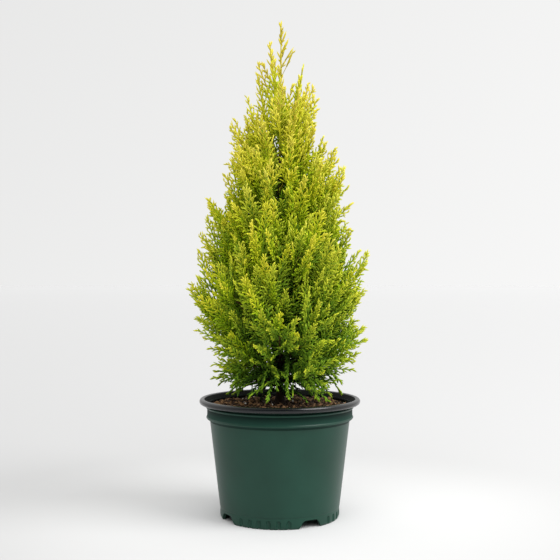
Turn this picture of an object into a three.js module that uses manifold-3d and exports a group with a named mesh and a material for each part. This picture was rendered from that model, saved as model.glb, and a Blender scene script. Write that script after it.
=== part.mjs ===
import * as THREE from "three";
import { mergeVertices } from "three/addons/utils/BufferGeometryUtils.js";
import Module from "manifold-3d";

// A young golden Leyland cypress in a green nursery pot with a black rolled rim.
// Millimetres, +Z up. The origin is on the ground, under the middle of the pot.

const wasm = await Module();
wasm.setup();

const CLEAR = 0.3; // the gap between pieces that meet

// Pot. Radii and heights follow its moulded steps from the floor to the roll at the top.
const POT_SIDES = 40;
const RIM_RADIUS = 127;
const RIM_TOP = 186;
const ROLL_WIDTH = 10;
const ROLL_HEIGHT = 9;
const NECK_RADIUS = 113.6;
const COLLAR_TOP_RADIUS = 115.8;
const COLLAR_TOP_Z = 170.5;
const COLLAR_FOOT_RADIUS = 114;
const COLLAR_FOOT_Z = 156;
const WALL_TOP_RADIUS = 110.3;
const WALL_TOP_Z = 151.5;
const WALL_FOOT_RADIUS = 94.6;
const SKIRT_TOP_Z = 18;
const SKIRT_RADIUS = 94;
const FOOT_RADIUS = 92;
const SKIRT_THICKNESS = 3.4;
const WALL_THICKNESS = 1.6;
const FLOOR_Z = 14;
const FLOOR_THICKNESS = 2;
const LINING_THICKNESS = 1.2;
const LINING_FOOT_Z = 158;

// Drain notches and the flutes pressed into the skirt between them.
const NOTCHES = 4;
const FIRST_NOTCH_DEG = 30 - 90;
const NOTCH_HEIGHT = 12.4;
const NOTCH_FOOT_WIDTH = 41;
const NOTCH_TOP_WIDTH = 25;
const FLUTES_BETWEEN_NOTCHES = 6;
const FLUTE_STEP_DEG = 9.33;
const FLUTE_RADIUS = 2.7;
const FLUTE_HEIGHT = 14;
const FLUTE_DEPTH = 2.6;
const DRAIN_HOLE_RADIUS = 8;
const DRAIN_HOLE_AT = 74;

// Potting mix.
const SOIL_Z = 174;
const SOIL_MOUND = 3;
const SOIL_ROUGHNESS = 1.2;
const SOIL_RINGS = [0.7, 0.36]; // shares of the radius, from the wall inwards

// Trunk.
const TRUNK_FOOT_Z = SOIL_Z + SOIL_MOUND + CLEAR;
const TRUNK_TOP_Z = 690;
const TRUNK_FOOT_RADIUS = 5.8;
const TRUNK_TOP_RADIUS = 0.9;
const ROOT_FLARE = 3.2;
const FLARE_SHARE = 0.03;
const TRUNK_BOW = 2.5;
const TRUNK_LEAN = 2;
const TRUNK_TAPER = 0.85;
const TRUNK_SIDES = 8;
const TRUNK_STEPS = 13;
const TRUNK_STEP_EASE = 1.6; // its rings lie closer together at the flare

// Crown outline: how far the furthest tips stand from the middle at each height,
// to the left (-X) and to the right (+X).
const CROWN_TIP_Z = 780;
const CROWN_OUTLINE = [
  [178, 98, 94],
  [206, 104, 96],
  [230, 112, 130],
  [282, 127, 141],
  [345, 147, 138],
  [395, 137, 141],
  [445, 130, 136],
  [497, 126, 114],
  [548, 97, 107],
  [588, 87, 92],
  [630, 79, 71],
  [673, 66, 67],
  [700, 45, 53],
  [737, 27, 34],
  [755, 12, 15],
  [CROWN_TIP_Z, 4, 6],
];

// Boughs climb the trunk by the golden angle. Low ones lie flat, high ones rise steeply.
const SEED = 68;
const BOUGHS = 26;
const LOW_BOUGHS = 12; // these carry the greener foliage
const GOLDEN_ANGLE = Math.PI * (3 - Math.sqrt(5));
const FIRST_AZIMUTH = 0.35;
const AZIMUTH_SPREAD = 0.3;
const LOWEST_TIP_Z = 204;
const TIP_SPAN = 582;
const TIP_SPREAD = 12;
const HEIGHT_POWER = 0.64;
const LEAST_RISE = -12;
const MOST_RISE = 118;
const FULL_RISE_SHARE = 0.5;
const RISE_POWER = 0.8;
const LEAST_REACH = 0.92;
const BEND_OUT = 0.6; // where a bough's line bends, as shares of its reach and of its rise
const BEND_UP = 0.3;
const BOUGH_SHARE = 0.22; // the bough's share of that line, then where its stem ends
const STEM_SHARE = 0.72;
const BOUGH_ROOT_SHARE = 0.5; // bough radius as a share of the trunk's, at its root and its end
const BOUGH_END_SHARE = 0.36;
const THINNEST_BOUGH = 0.9;
const THICKEST_BOUGH = 2.8;
const BOUGH_SIDES = 5;
const LONGEST_LINE = 150;

// Each mass: a three-sided stem, twigs on it and a toothed spray at every tip.
const STEM_END_RADIUS = 0.9;
const STEM_STEPS = 3;
const TWIG_ROOT_SHARE = 0.55;
const TWIG_END_RADIUS = 0.62;
const TWIG_SIDES = 3;
const MOST_TWIGS = 9;
const LEAST_TWIGS = 5;
const LEADER_TWIGS = 7;
const FIRST_TWIG_SHARE = 0.05;
const LAST_TWIG_SHARE = 0.86;
const TWIG_ANGLE = 0.62;
const TWIG_LIFT = 0.4;
const TWIG_LENGTH = 0.42;
const TWIG_SHORTENING = 0.8;
const MASS_TURN = 2.2;
const TWIG_TURN_SPREAD = 0.7;
const TRIES = 14;
const TRY_TURN = 0.9;
const SHRINK = 0.95;
const TIP_SHRINK = 0.03;
const SPRAY_LENGTH = 88;
const LEADER_SPRAY_LENGTH = 32;
const SPRAY_THICKNESS = 1.5;
const SPRAY_SINK = 5;
const SEAM_SIZE = 0.1; // edges shorter than this are closed up where sprays join

// A spray's outline, in shares of its length: a slim spine with forward-leaning teeth.
const SPRAY_TEETH = 4;
const SPINE_WIDTH = 0.045;
const TOOTH_LENGTH = 0.44;
const TOOTH_SHORTENING = 0.5;
const TOOTH_FORWARD = 0.78;
const TOOTH_OUT = 0.58;
const NOTCH_BEHIND = 0.24;

// Clearances that keep the masses apart and off the trunk, the pot and the soil.
const LEAST_ROOM = 34; // between the middles and tips of a mass's full-size sprays
const ROOM_BETWEEN = 1.6;
const ROOM_OUTSIDE = 3;
const ROOM_AT_TRUNK = 1.5;
const ROOM_OVER_POT = 3;
const SOIL_REACH = 108;

const POT_GREEN = new THREE.MeshStandardMaterial({ color: 0x2c5243, roughness: 0.45, metalness: 0 });
const POT_BLACK = new THREE.MeshStandardMaterial({ color: 0x1d2021, roughness: 0.35, metalness: 0 });
const SOIL_BROWN = new THREE.MeshStandardMaterial({ color: 0x3a2a20, roughness: 0.95, metalness: 0 });
const BARK = new THREE.MeshStandardMaterial({ color: 0x4a3226, roughness: 0.9, metalness: 0 });
const GREEN_FOLIAGE = new THREE.MeshStandardMaterial({ color: 0x76901f, roughness: 0.6, metalness: 0 });
const GOLD_FOLIAGE = new THREE.MeshStandardMaterial({ color: 0xc4b43a, roughness: 0.6, metalness: 0 });

const UP = new THREE.Vector3(0, 0, 1);
const mix = (a, b, t) => a + (b - a) * t;
const clamp = (value, low, high) => Math.min(high, Math.max(low, value));
const turned = (radius, angle, z) =>
  new THREE.Vector3(radius * Math.cos(angle), radius * Math.sin(angle), z);

// A seeded random number from 0 to 1, the same on every run.
function seeded(seed) {
  let state = seed >>> 0;
  return () => {
    state = (state + 0x6d2b79f5) >>> 0;
    let word = Math.imul(state ^ (state >>> 15), state | 1);
    word ^= word + Math.imul(word ^ (word >>> 7), word | 61);
    return ((word ^ (word >>> 14)) >>> 0) / 4294967296;
  };
}

// Turns a closed geometry into a solid that can be cut and joined.
function solidOf(geometry) {
  const bare = geometry.clone();
  bare.deleteAttribute("normal");
  bare.deleteAttribute("uv");
  const merged = mergeVertices(bare, 1e-3);
  return new wasm.Manifold(
    new wasm.Mesh({
      numProp: 3,
      vertProperties: merged.attributes.position.array,
      triVerts: new Uint32Array(merged.index.array),
    }),
  );
}

function geometryOf(solid) {
  const mesh = solid.getMesh();
  const geometry = new THREE.BufferGeometry();
  geometry.setAttribute("position", new THREE.BufferAttribute(mesh.vertProperties, 3));
  geometry.setIndex(new THREE.BufferAttribute(mesh.triVerts, 1));
  geometry.computeVertexNormals();
  return geometry;
}

const joined = (solids) => solids.reduce((whole, next) => whole.add(next));

function namedMesh(name, geometry, material) {
  const mesh = new THREE.Mesh(geometry, material);
  mesh.name = name;
  return mesh;
}

// A ring or pot wall: a closed profile of [radius, height] pairs turned round the Z axis.
function turnedProfile(pairs, sides = POT_SIDES) {
  const points = pairs.map(([radius, height]) => new THREE.Vector2(radius, height));
  return new THREE.LatheGeometry(points, sides).rotateX(Math.PI / 2);
}

// A limb: a unit cylinder bent along a curve, with its radius a function of the share run.
function limb(curve, radiusAt, sides, steps) {
  const geometry = new THREE.CylinderGeometry(1, 1, 1, sides, steps);
  const position = geometry.attributes.position;
  const chord = curve.getPoint(1).sub(curve.getPoint(0)).normalize();
  const reference = Math.abs(chord.z) > 0.9 ? new THREE.Vector3(1, 0, 0) : new THREE.Vector3(0, 0, 1);
  for (let i = 0; i < position.count; i++) {
    const share = position.getY(i) + 0.5;
    const along = curve.getTangent(share);
    const side = new THREE.Vector3().crossVectors(reference, along).normalize();
    const out = new THREE.Vector3().crossVectors(side, along);
    const radius = radiusAt(share);
    const point = curve
      .getPoint(share)
      .addScaledVector(side, position.getX(i) * radius)
      .addScaledVector(out, position.getZ(i) * radius);
    position.setXYZ(i, point.x, point.y, point.z);
  }
  return geometry;
}

// Pot

const wallRadiusAt = (z) =>
  mix(WALL_FOOT_RADIUS, WALL_TOP_RADIUS, (z - SKIRT_TOP_Z) / (WALL_TOP_Z - SKIRT_TOP_Z));

function fluteCutter(angle) {
  const profile = [
    [0, -1],
    [FLUTE_RADIUS, -1],
    [FLUTE_RADIUS, FLUTE_HEIGHT - FLUTE_RADIUS],
    [0, FLUTE_HEIGHT],
  ];
  const at = turned(SKIRT_RADIUS - FLUTE_DEPTH + FLUTE_RADIUS, angle, 0);
  return solidOf(turnedProfile(profile, 6).rotateZ(angle).translate(at.x, at.y, at.z));
}

function notchCutter(angle) {
  const outline = new THREE.Shape([
    new THREE.Vector2(-NOTCH_FOOT_WIDTH / 2, -1),
    new THREE.Vector2(NOTCH_FOOT_WIDTH / 2, -1),
    new THREE.Vector2(NOTCH_TOP_WIDTH / 2, NOTCH_HEIGHT),
    new THREE.Vector2(-NOTCH_TOP_WIDTH / 2, NOTCH_HEIGHT),
  ]);
  const depth = 2 * SKIRT_THICKNESS + 12;
  const cutter = new THREE.ExtrudeGeometry(outline, { depth, bevelEnabled: false, steps: 1 });
  cutter.rotateX(Math.PI / 2).translate(0, -(SKIRT_RADIUS - depth), 0);
  return solidOf(cutter.rotateZ(angle + Math.PI / 2));
}

function drainHoleCutter(angle) {
  const at = turned(DRAIN_HOLE_AT, angle, FLOOR_Z + FLOOR_THICKNESS / 2);
  const drill = new THREE.CylinderGeometry(DRAIN_HOLE_RADIUS, DRAIN_HOLE_RADIUS, 3 * FLOOR_THICKNESS, 10);
  return solidOf(drill.rotateX(Math.PI / 2).translate(at.x, at.y, at.z));
}

function potBody() {
  const shell = solidOf(
    turnedProfile([
      [0, FLOOR_Z],
      [FOOT_RADIUS - SKIRT_THICKNESS, FLOOR_Z],
      [FOOT_RADIUS - SKIRT_THICKNESS, 0],
      [FOOT_RADIUS, 0],
      [SKIRT_RADIUS, 3],
      [SKIRT_RADIUS, SKIRT_TOP_Z - 0.5],
      [WALL_FOOT_RADIUS, SKIRT_TOP_Z],
      [WALL_TOP_RADIUS, WALL_TOP_Z],
      [COLLAR_FOOT_RADIUS, COLLAR_FOOT_Z],
      [COLLAR_TOP_RADIUS, COLLAR_TOP_Z],
      [NECK_RADIUS, COLLAR_TOP_Z + 2],
      [NECK_RADIUS, RIM_TOP - ROLL_HEIGHT - CLEAR],
      [NECK_RADIUS - WALL_THICKNESS, RIM_TOP - ROLL_HEIGHT - CLEAR],
      [NECK_RADIUS - WALL_THICKNESS, LINING_FOOT_Z],
      [WALL_TOP_RADIUS - WALL_THICKNESS, WALL_TOP_Z],
      [wallRadiusAt(FLOOR_Z + FLOOR_THICKNESS) - WALL_THICKNESS - 1, FLOOR_Z + FLOOR_THICKNESS],
      [0, FLOOR_Z + FLOOR_THICKNESS],
    ]),
  );
  const cutters = [];
  for (let n = 0; n < NOTCHES; n++) {
    const middle = THREE.MathUtils.degToRad(FIRST_NOTCH_DEG + (360 / NOTCHES) * n);
    cutters.push(notchCutter(middle), drainHoleCutter(middle));
    for (let f = 0; f < FLUTES_BETWEEN_NOTCHES; f++) {
      const offset = 180 / NOTCHES + (f - (FLUTES_BETWEEN_NOTCHES - 1) / 2) * FLUTE_STEP_DEG;
      cutters.push(fluteCutter(middle + THREE.MathUtils.degToRad(offset)));
    }
  }
  return geometryOf(shell.subtract(joined(cutters)));
}

// The roll over the top of the wall and the black lining that runs down inside it.
function potRim() {
  const rollInner = RIM_RADIUS - ROLL_WIDTH;
  const liningOuter = NECK_RADIUS - WALL_THICKNESS - CLEAR;
  const liningInner = liningOuter - LINING_THICKNESS;
  const foot = RIM_TOP - ROLL_HEIGHT;
  return turnedProfile([
    [liningOuter, LINING_FOOT_Z],
    [liningOuter, foot],
    [RIM_RADIUS - 2.5, foot],
    [RIM_RADIUS, foot + 3],
    [RIM_RADIUS - 0.6, foot + 6.5],
    [RIM_RADIUS - 4.5, RIM_TOP],
    [rollInner + 1, RIM_TOP - 1.5],
    [liningInner, RIM_TOP - 7],
    [liningInner, LINING_FOOT_Z],
    [liningOuter, LINING_FOOT_Z],
  ]);
}

// The potting mix fills the pot. Its top is a low mound with a rough face.
function soil() {
  const wallGap = WALL_THICKNESS + 2 * CLEAR;
  const liningInner = NECK_RADIUS - WALL_THICKNESS - LINING_THICKNESS - 3 * CLEAR;
  const foot = FLOOR_Z + FLOOR_THICKNESS + CLEAR;
  const geometry = turnedProfile([
    [0, foot],
    [wallRadiusAt(foot) - wallGap - 1, foot],
    [WALL_TOP_RADIUS - wallGap, WALL_TOP_Z],
    [liningInner, LINING_FOOT_Z + 1],
    [liningInner, SOIL_Z],
    ...SOIL_RINGS.map((share) => [liningInner * share, SOIL_Z + SOIL_MOUND * (1 - share)]),
    [0, SOIL_Z + SOIL_MOUND],
  ]);
  const random = seeded(SEED);
  const lifts = new Map();
  const position = geometry.attributes.position;
  for (let i = 0; i < position.count; i++) {
    const radius = Math.hypot(position.getX(i), position.getY(i));
    if (position.getZ(i) < SOIL_Z - 1 || radius > liningInner - 1 || radius < 1) continue;
    const place = `${position.getX(i).toFixed(1)},${position.getY(i).toFixed(1)}`.replaceAll("-0.0", "0.0");
    if (!lifts.has(place)) lifts.set(place, SOIL_ROUGHNESS * (2 * random() - 1));
    position.setZ(i, position.getZ(i) + lifts.get(place));
  }
  return geometry;
}

// Trunk and crown

// The trunk's middle line: upright, with a faint double bow and a faint lean.
function trunkPoint(z) {
  const share = clamp((z - TRUNK_FOOT_Z) / (TRUNK_TOP_Z - TRUNK_FOOT_Z), 0, 1);
  return new THREE.Vector3(
    TRUNK_BOW * Math.sin(share * Math.PI * 2) * share + TRUNK_LEAN * share,
    TRUNK_BOW * Math.sin(share * Math.PI * 1.5) * share,
    z,
  );
}

function trunkRadius(z) {
  const share = clamp((z - TRUNK_FOOT_Z) / (TRUNK_TOP_Z - TRUNK_FOOT_Z), 0, 1);
  const flare = ROOT_FLARE * Math.exp(-share / FLARE_SHARE);
  return mix(TRUNK_FOOT_RADIUS, TRUNK_TOP_RADIUS, Math.pow(share, TRUNK_TAPER)) + flare;
}

class TrunkLine extends THREE.Curve {
  getPoint(share, target = new THREE.Vector3()) {
    const eased = Math.pow(share, TRUNK_STEP_EASE);
    return target.copy(trunkPoint(mix(TRUNK_FOOT_Z, TRUNK_TOP_Z, eased)));
  }
  getTangent() {
    return new THREE.Vector3(0, 0, 1);
  }
}

function trunk() {
  const line = new TrunkLine();
  return limb(line, (share) => trunkRadius(line.getPoint(share).z), TRUNK_SIDES, TRUNK_STEPS);
}

function crownRadius(z, azimuth) {
  const last = CROWN_OUTLINE.length - 1;
  let row = 0;
  while (row < last - 1 && z > CROWN_OUTLINE[row + 1][0]) row++;
  const [lowZ, lowLeft, lowRight] = CROWN_OUTLINE[row];
  const [highZ, highLeft, highRight] = CROWN_OUTLINE[row + 1];
  const share = clamp((z - lowZ) / (highZ - lowZ), 0, 1);
  const rightness = (1 + Math.cos(azimuth)) / 2;
  return mix(mix(lowLeft, highLeft, share), mix(lowRight, highRight, share), rightness);
}

// The line of one bough and of the stem that carries on from it. It leaves the trunk flat
// and sweeps up. The lowest ones droop over the soil.
function boughLine(index) {
  const random = seeded(SEED + 101 * index);
  const share = (index + 0.5) / BOUGHS;
  const azimuth = FIRST_AZIMUTH + index * GOLDEN_ANGLE + AZIMUTH_SPREAD * (random() - 0.5);
  const climbed = 1 - Math.pow(1 - share, HEIGHT_POWER);
  const tipZ = LOWEST_TIP_Z + TIP_SPAN * climbed + TIP_SPREAD * (random() - 0.5);
  const reach = crownRadius(tipZ, azimuth) * mix(LEAST_REACH, 1, random());
  const risen = Math.pow(Math.min(1, share / FULL_RISE_SHARE), RISE_POWER);
  const rise = mix(LEAST_RISE, MOST_RISE, risen);
  const startZ = tipZ - rise;
  const radius = boughRootRadius(startZ);
  const bend = turned(reach * BEND_OUT, azimuth, startZ + rise * BEND_UP);
  const tilt = Math.atan2(rise * BEND_UP, reach * BEND_OUT);
  const start = turned(trunkRadius(startZ) + CLEAR + radius * Math.abs(Math.sin(tilt)), azimuth, 0);
  start.add(trunkPoint(startZ));
  return new THREE.QuadraticBezierCurve3(start, bend, turned(reach, azimuth, tipZ));
}

function boughRootRadius(z) {
  return clamp(BOUGH_ROOT_SHARE * trunkRadius(z), THINNEST_BOUGH, THICKEST_BOUGH);
}

function boughEndRadius(z) {
  return boughRootRadius(z) * (BOUGH_END_SHARE / BOUGH_ROOT_SHARE);
}

// The part of a bend between two shares of its run, as a bend of its own.
function stretch(line, from, to) {
  const cornerAt = (s, t) =>
    new THREE.Vector3()
      .addScaledVector(line.v0, (1 - s) * (1 - t))
      .addScaledVector(line.v1, s * (1 - t) + t * (1 - s))
      .addScaledVector(line.v2, s * t);
  return new THREE.QuadraticBezierCurve3(cornerAt(from, from), cornerAt(from, to), cornerAt(to, to));
}

// The share of a line's run that is one clearance long at this place.
function clearShare(line, at) {
  const step = 0.01;
  return (CLEAR * 2 * step) / line.getPoint(at - step).distanceTo(line.getPoint(at + step));
}

const leaderFoot = trunkPoint(TRUNK_TOP_Z).setZ(TRUNK_TOP_Z + CLEAR);
const leaderTip = new THREE.Vector3(TRUNK_LEAN, 0, CROWN_TIP_Z);
const leaderLine = new THREE.QuadraticBezierCurve3(
  leaderFoot,
  leaderFoot.clone().lerp(leaderTip, 0.5).setX(leaderFoot.x),
  leaderTip,
);
const boughLines = Array.from({ length: BOUGHS }, (_, index) => boughLine(index));
const axes = [...boughLines, leaderLine].map((line) => line.getPoints(7));

function distanceToAxis(point, axis) {
  const nearest = new THREE.Vector3();
  let least = Infinity;
  for (let i = 0; i + 1 < axis.length; i++) {
    new THREE.Line3(axis[i], axis[i + 1]).closestPointToPoint(point, true, nearest);
    least = Math.min(least, nearest.distanceTo(point));
  }
  return least;
}

// A mass keeps to the space nearer to its own line than to any other, inside the crown's
// outline, off the trunk and above the pot's rim and the soil.
function inOwnSpace(point, own) {
  const out = Math.hypot(point.x, point.y);
  if (point.z > CROWN_TIP_Z) return false;
  if (out > crownRadius(point.z, Math.atan2(point.y, point.x)) + ROOM_OUTSIDE) return false;
  if (point.z < (out > SOIL_REACH ? RIM_TOP : SOIL_Z + SOIL_MOUND) + ROOM_OVER_POT) return false;
  const trunkMiddle = trunkPoint(point.z);
  const fromTrunk = Math.hypot(point.x - trunkMiddle.x, point.y - trunkMiddle.y);
  if (point.z < TRUNK_TOP_Z + 1 && fromTrunk < trunkRadius(point.z) + ROOM_AT_TRUNK) return false;
  const ownDistance = distanceToAxis(point, axes[own]);
  return axes.every((axis, i) => i === own || distanceToAxis(point, axis) > ownDistance + ROOM_BETWEEN);
}

// Sprays

// The outline of a spray: a slim spine with teeth that lean forward, left and right in turn.
function sprayOutline(length) {
  const spine = SPINE_WIDTH * length;
  const side = (first, sign) => {
    const points = [];
    for (let n = first; n < SPRAY_TEETH; n += 2) {
      const share = (n + 0.6) / (SPRAY_TEETH + 0.8);
      const tooth = TOOTH_LENGTH * length * (1 - TOOTH_SHORTENING * share);
      const tipOut = TOOTH_OUT * tooth + spine;
      points.push(new THREE.Vector2(length * share + TOOTH_FORWARD * tooth, sign * tipOut));
      points.push(new THREE.Vector2(length * (share + NOTCH_BEHIND), sign * spine * (1 - 0.6 * share)));
    }
    return points;
  };
  return [
    new THREE.Vector2(-SPRAY_SINK, -spine),
    ...side(0, -1),
    new THREE.Vector2(length, 0),
    ...side(1, 1).reverse(),
    new THREE.Vector2(-SPRAY_SINK, spine),
  ];
}

// The frame of a spray or twig: its direction, then across and out of its face.
function frameAt(root, direction, across) {
  const flat = across.clone().addScaledVector(direction, -across.dot(direction)).normalize();
  const out = new THREE.Vector3().crossVectors(direction, flat);
  return new THREE.Matrix4().makeBasis(direction, flat, out).setPosition(root);
}

function spray(root, direction, across, length) {
  const outline = sprayOutline(length);
  const options = { depth: SPRAY_THICKNESS, bevelEnabled: false, steps: 1 };
  const geometry = new THREE.ExtrudeGeometry(new THREE.Shape(outline), options);
  return geometry.translate(0, 0, -SPRAY_THICKNESS / 2).applyMatrix4(frameAt(root, direction, across));
}

function sprayFits(root, direction, across, length, own) {
  const frame = frameAt(root, direction, across);
  return sprayOutline(length)
    .slice(1, -1)
    .every((corner) => inOwnSpace(new THREE.Vector3(corner.x, corner.y, 0).applyMatrix4(frame), own));
}

// A direction leaned away from another one, towards an angle round it.
function leaned(direction, angle, roll) {
  const reference = Math.abs(direction.z) > 0.9 ? new THREE.Vector3(1, 0, 0) : new THREE.Vector3(0, 0, 1);
  const across = new THREE.Vector3().crossVectors(reference, direction).normalize();
  return direction
    .clone()
    .multiplyScalar(Math.cos(angle))
    .addScaledVector(across.applyAxisAngle(direction, roll), Math.sin(angle));
}

// One mass: a stem with a spray at its tip, and twigs up it that end in sprays of their own.
// A twig or spray that doesn't fit is turned round the stem and shortened until it does.
function growMass(line, from, own, endRadius, twigs, sprayLength) {
  const random = seeded(SEED + 977 * (own + 1));
  const stemLine = stretch(line, from, STEM_SHARE);
  const stemEnd = Math.min(STEM_END_RADIUS, 0.8 * endRadius);
  const stemRadius = (share) => mix(endRadius, stemEnd, share);
  const solids = [solidOf(limb(stemLine, stemRadius, TWIG_SIDES, STEM_STEPS))];
  const stemTip = stemLine.getPoint(1);
  const tipDirection = stemLine.getTangent(1);
  const tipLength = line.getPoint(1).distanceTo(stemTip);
  const tipRoll = 2 * Math.PI * random();
  for (let k = 0; k < TRIES; k++) {
    const across = leaned(tipDirection, Math.PI / 2, tipRoll + k * TRY_TURN);
    const length = tipLength * (1 - TIP_SHRINK * k);
    if (!sprayFits(stemTip, tipDirection, across, length, own)) continue;
    solids.push(solidOf(spray(stemTip, tipDirection, across, length)));
    break;
  }
  const wholeLength = stemLine.getLength() + tipLength;
  const taken = [stemTip.clone().lerp(line.getPoint(1), 0.5), line.getPoint(1)];
  for (let n = 0; n < twigs; n++) {
    const share = mix(FIRST_TWIG_SHARE, LAST_TWIG_SHARE, n / (twigs - 1));
    const root = stemLine.getPoint(share);
    const along = stemLine.getTangent(share);
    const firstRoll = n * GOLDEN_ANGLE + MASS_TURN * own + TWIG_TURN_SPREAD * random();
    const angle = TWIG_ANGLE * mix(0.8, 1.25, random());
    const lift = TWIG_LIFT * random();
    const faceRoll = Math.PI * random();
    const wanted = sprayLength * mix(0.85, 1.1, random());
    const twigShare = TWIG_LENGTH * (1 - TWIG_SHORTENING * share);
    const wantedTwig = Math.max(SPRAY_SINK + 2, wholeLength * twigShare);
    let best = null;
    for (let k = 0; k < TRIES; k++) {
      const shrink = Math.pow(SHRINK, k);
      const length = wanted * shrink;
      const direction = leaned(along, angle, firstRoll + k * TRY_TURN);
      const lifted = direction.clone().lerp(UP, lift).normalize();
      const bend = root.clone().addScaledVector(direction, (wantedTwig * shrink) / 2);
      const end = bend.clone().addScaledVector(lifted, (wantedTwig * shrink) / 2);
      const across = leaned(lifted, Math.PI / 2, faceRoll);
      if (!inOwnSpace(end, own) || !inOwnSpace(bend, own)) continue;
      if (!sprayFits(end, lifted, across, length, own)) continue;
      const points = [0.5, 1].map((part) => end.clone().addScaledVector(lifted, part * length));
      const room = Math.min(...points.flatMap((point) => taken.map((place) => point.distanceTo(place))));
      if (room < LEAST_ROOM * (length / SPRAY_LENGTH) || (best && room * shrink < best.score)) continue;
      best = { score: room * shrink, bend, end, lifted, across, length, points };
    }
    if (!best) continue;
    taken.push(...best.points);
    const twigLine = new THREE.QuadraticBezierCurve3(root, best.bend, best.end);
    const twigRadius = (run) => mix(TWIG_ROOT_SHARE * stemRadius(share), TWIG_END_RADIUS, run);
    solids.push(solidOf(limb(twigLine, twigRadius, TWIG_SIDES, 1)));
    solids.push(solidOf(spray(best.end, best.lifted, best.across, best.length)));
  }
  return geometryOf(joined(solids).asOriginal().simplify(SEAM_SIZE));
}

// Assembly

const plant = new THREE.Group();
plant.add(namedMesh("pot_body", potBody(), POT_GREEN));
plant.add(namedMesh("pot_rim", potRim(), POT_BLACK));
plant.add(namedMesh("potting_mix", soil(), SOIL_BROWN));
plant.add(namedMesh("trunk", trunk(), BARK));

boughLines.forEach((line, index) => {
  const label = String(index + 1).padStart(2, "0");
  const rootRadius = boughRootRadius(line.v0.z);
  const endRadius = boughEndRadius(line.v0.z);
  const boughPart = stretch(line, 0, BOUGH_SHARE - clearShare(line, BOUGH_SHARE));
  const bough = limb(boughPart, (share) => mix(rootRadius, endRadius, share), BOUGH_SIDES, 2);
  plant.add(namedMesh(`bough_${label}`, bough, BARK));
  const size = clamp(line.v0.distanceTo(line.v2) / LONGEST_LINE, 0, 1);
  const twigs = Math.round(mix(LEAST_TWIGS, MOST_TWIGS, size));
  const sprayLength = SPRAY_LENGTH * mix(0.5, 1, size);
  const mass = growMass(line, BOUGH_SHARE, index, endRadius, twigs, sprayLength);
  plant.add(namedMesh(`foliage_${label}`, mass, index < LOW_BOUGHS ? GREEN_FOLIAGE : GOLD_FOLIAGE));
});
const leader = growMass(leaderLine, 0, BOUGHS, TRUNK_TOP_RADIUS, LEADER_TWIGS, LEADER_SPRAY_LENGTH);
plant.add(namedMesh("foliage_leader", leader, GOLD_FOLIAGE));

export default plant;
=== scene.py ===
"""A young golden Leyland cypress in a green nursery pot with a black rolled rim.

The plant grows by the rule that its solids grow by, carried on to fronds, sprigs and shoots.
Lengths of the plant and the pot are in millimetres, and every mesh is made in metres.
"""

import math
import random

import bmesh
import bpy
import numpy as np
from mathutils import Matrix, Vector, noise


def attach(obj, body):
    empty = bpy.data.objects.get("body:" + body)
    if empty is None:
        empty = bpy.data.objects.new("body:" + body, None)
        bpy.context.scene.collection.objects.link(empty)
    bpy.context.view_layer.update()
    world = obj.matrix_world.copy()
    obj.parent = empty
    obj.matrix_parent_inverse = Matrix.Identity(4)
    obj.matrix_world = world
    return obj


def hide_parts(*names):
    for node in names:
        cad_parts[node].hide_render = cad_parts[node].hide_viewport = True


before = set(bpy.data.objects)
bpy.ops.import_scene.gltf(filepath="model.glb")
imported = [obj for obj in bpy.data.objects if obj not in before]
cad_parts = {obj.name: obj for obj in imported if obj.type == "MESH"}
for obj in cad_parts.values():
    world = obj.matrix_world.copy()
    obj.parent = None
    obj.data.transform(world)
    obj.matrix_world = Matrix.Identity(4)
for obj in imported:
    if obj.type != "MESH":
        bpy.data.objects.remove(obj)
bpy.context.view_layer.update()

MM = 0.001
UP = np.array([0.0, 0.0, 1.0])
X_AXIS = np.array([1.0, 0.0, 0.0])

# Pot, in millimetres.
POT_SIDES = 160
RIM_RADIUS = 127
RIM_TOP = 186
ROLL_HEIGHT = 9
ROLL_HALF_WIDTH = 4.7
ROLL_HALF_HEIGHT = 4.55
LINING_EDGE = 119.3
NECK_RADIUS = 113.6
COLLAR_TOP_RADIUS = 115.8
COLLAR_TOP_Z = 170.5
COLLAR_FOOT_RADIUS = 114
COLLAR_FOOT_Z = 156
WALL_TOP_RADIUS = 110.3
WALL_TOP_Z = 151.5
WALL_FOOT_RADIUS = 94.6
SKIRT_TOP_Z = 18
SKIRT_RADIUS = 94
FOOT_RADIUS = 92
SKIRT_THICKNESS = 3.4
WALL_THICKNESS = 1.6
FLOOR_Z = 14
FLOOR_THICKNESS = 2
LINING_FOOT_Z = 158
NOTCHES = 4
FIRST_NOTCH = math.radians(30 - 90)
NOTCH_HEIGHT = 12.4
NOTCH_FOOT_WIDTH = 41
NOTCH_TOP_WIDTH = 25
NOTCH_ROUNDING = 4.5
FLUTES_BETWEEN_NOTCHES = 6
FLUTE_STEP = math.radians(9.33)
FLUTE_WIDTH = 8.4
FLUTE_HEIGHT = 14
FLUTE_DEPTH = 2.4
SCALLOP_RISE = 1.4
DRAIN_HOLE_RADIUS = 8
DRAIN_HOLE_AT = 74

# Potting mix.
CLEAR = 0.3
SOIL_Z = 174
SOIL_MOUND = 3
SOIL_EDGE = 109.8

# Trunk.
TRUNK_FOOT_Z = SOIL_Z + SOIL_MOUND + CLEAR
TRUNK_TOP_Z = 690
TRUNK_FOOT_RADIUS = 5.8
TRUNK_TOP_RADIUS = 0.9
ROOT_FLARE = 3.2
FLARE_SHARE = 0.03
TRUNK_BOW = 2.5
TRUNK_LEAN = 2
TRUNK_TAPER = 0.85

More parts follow.
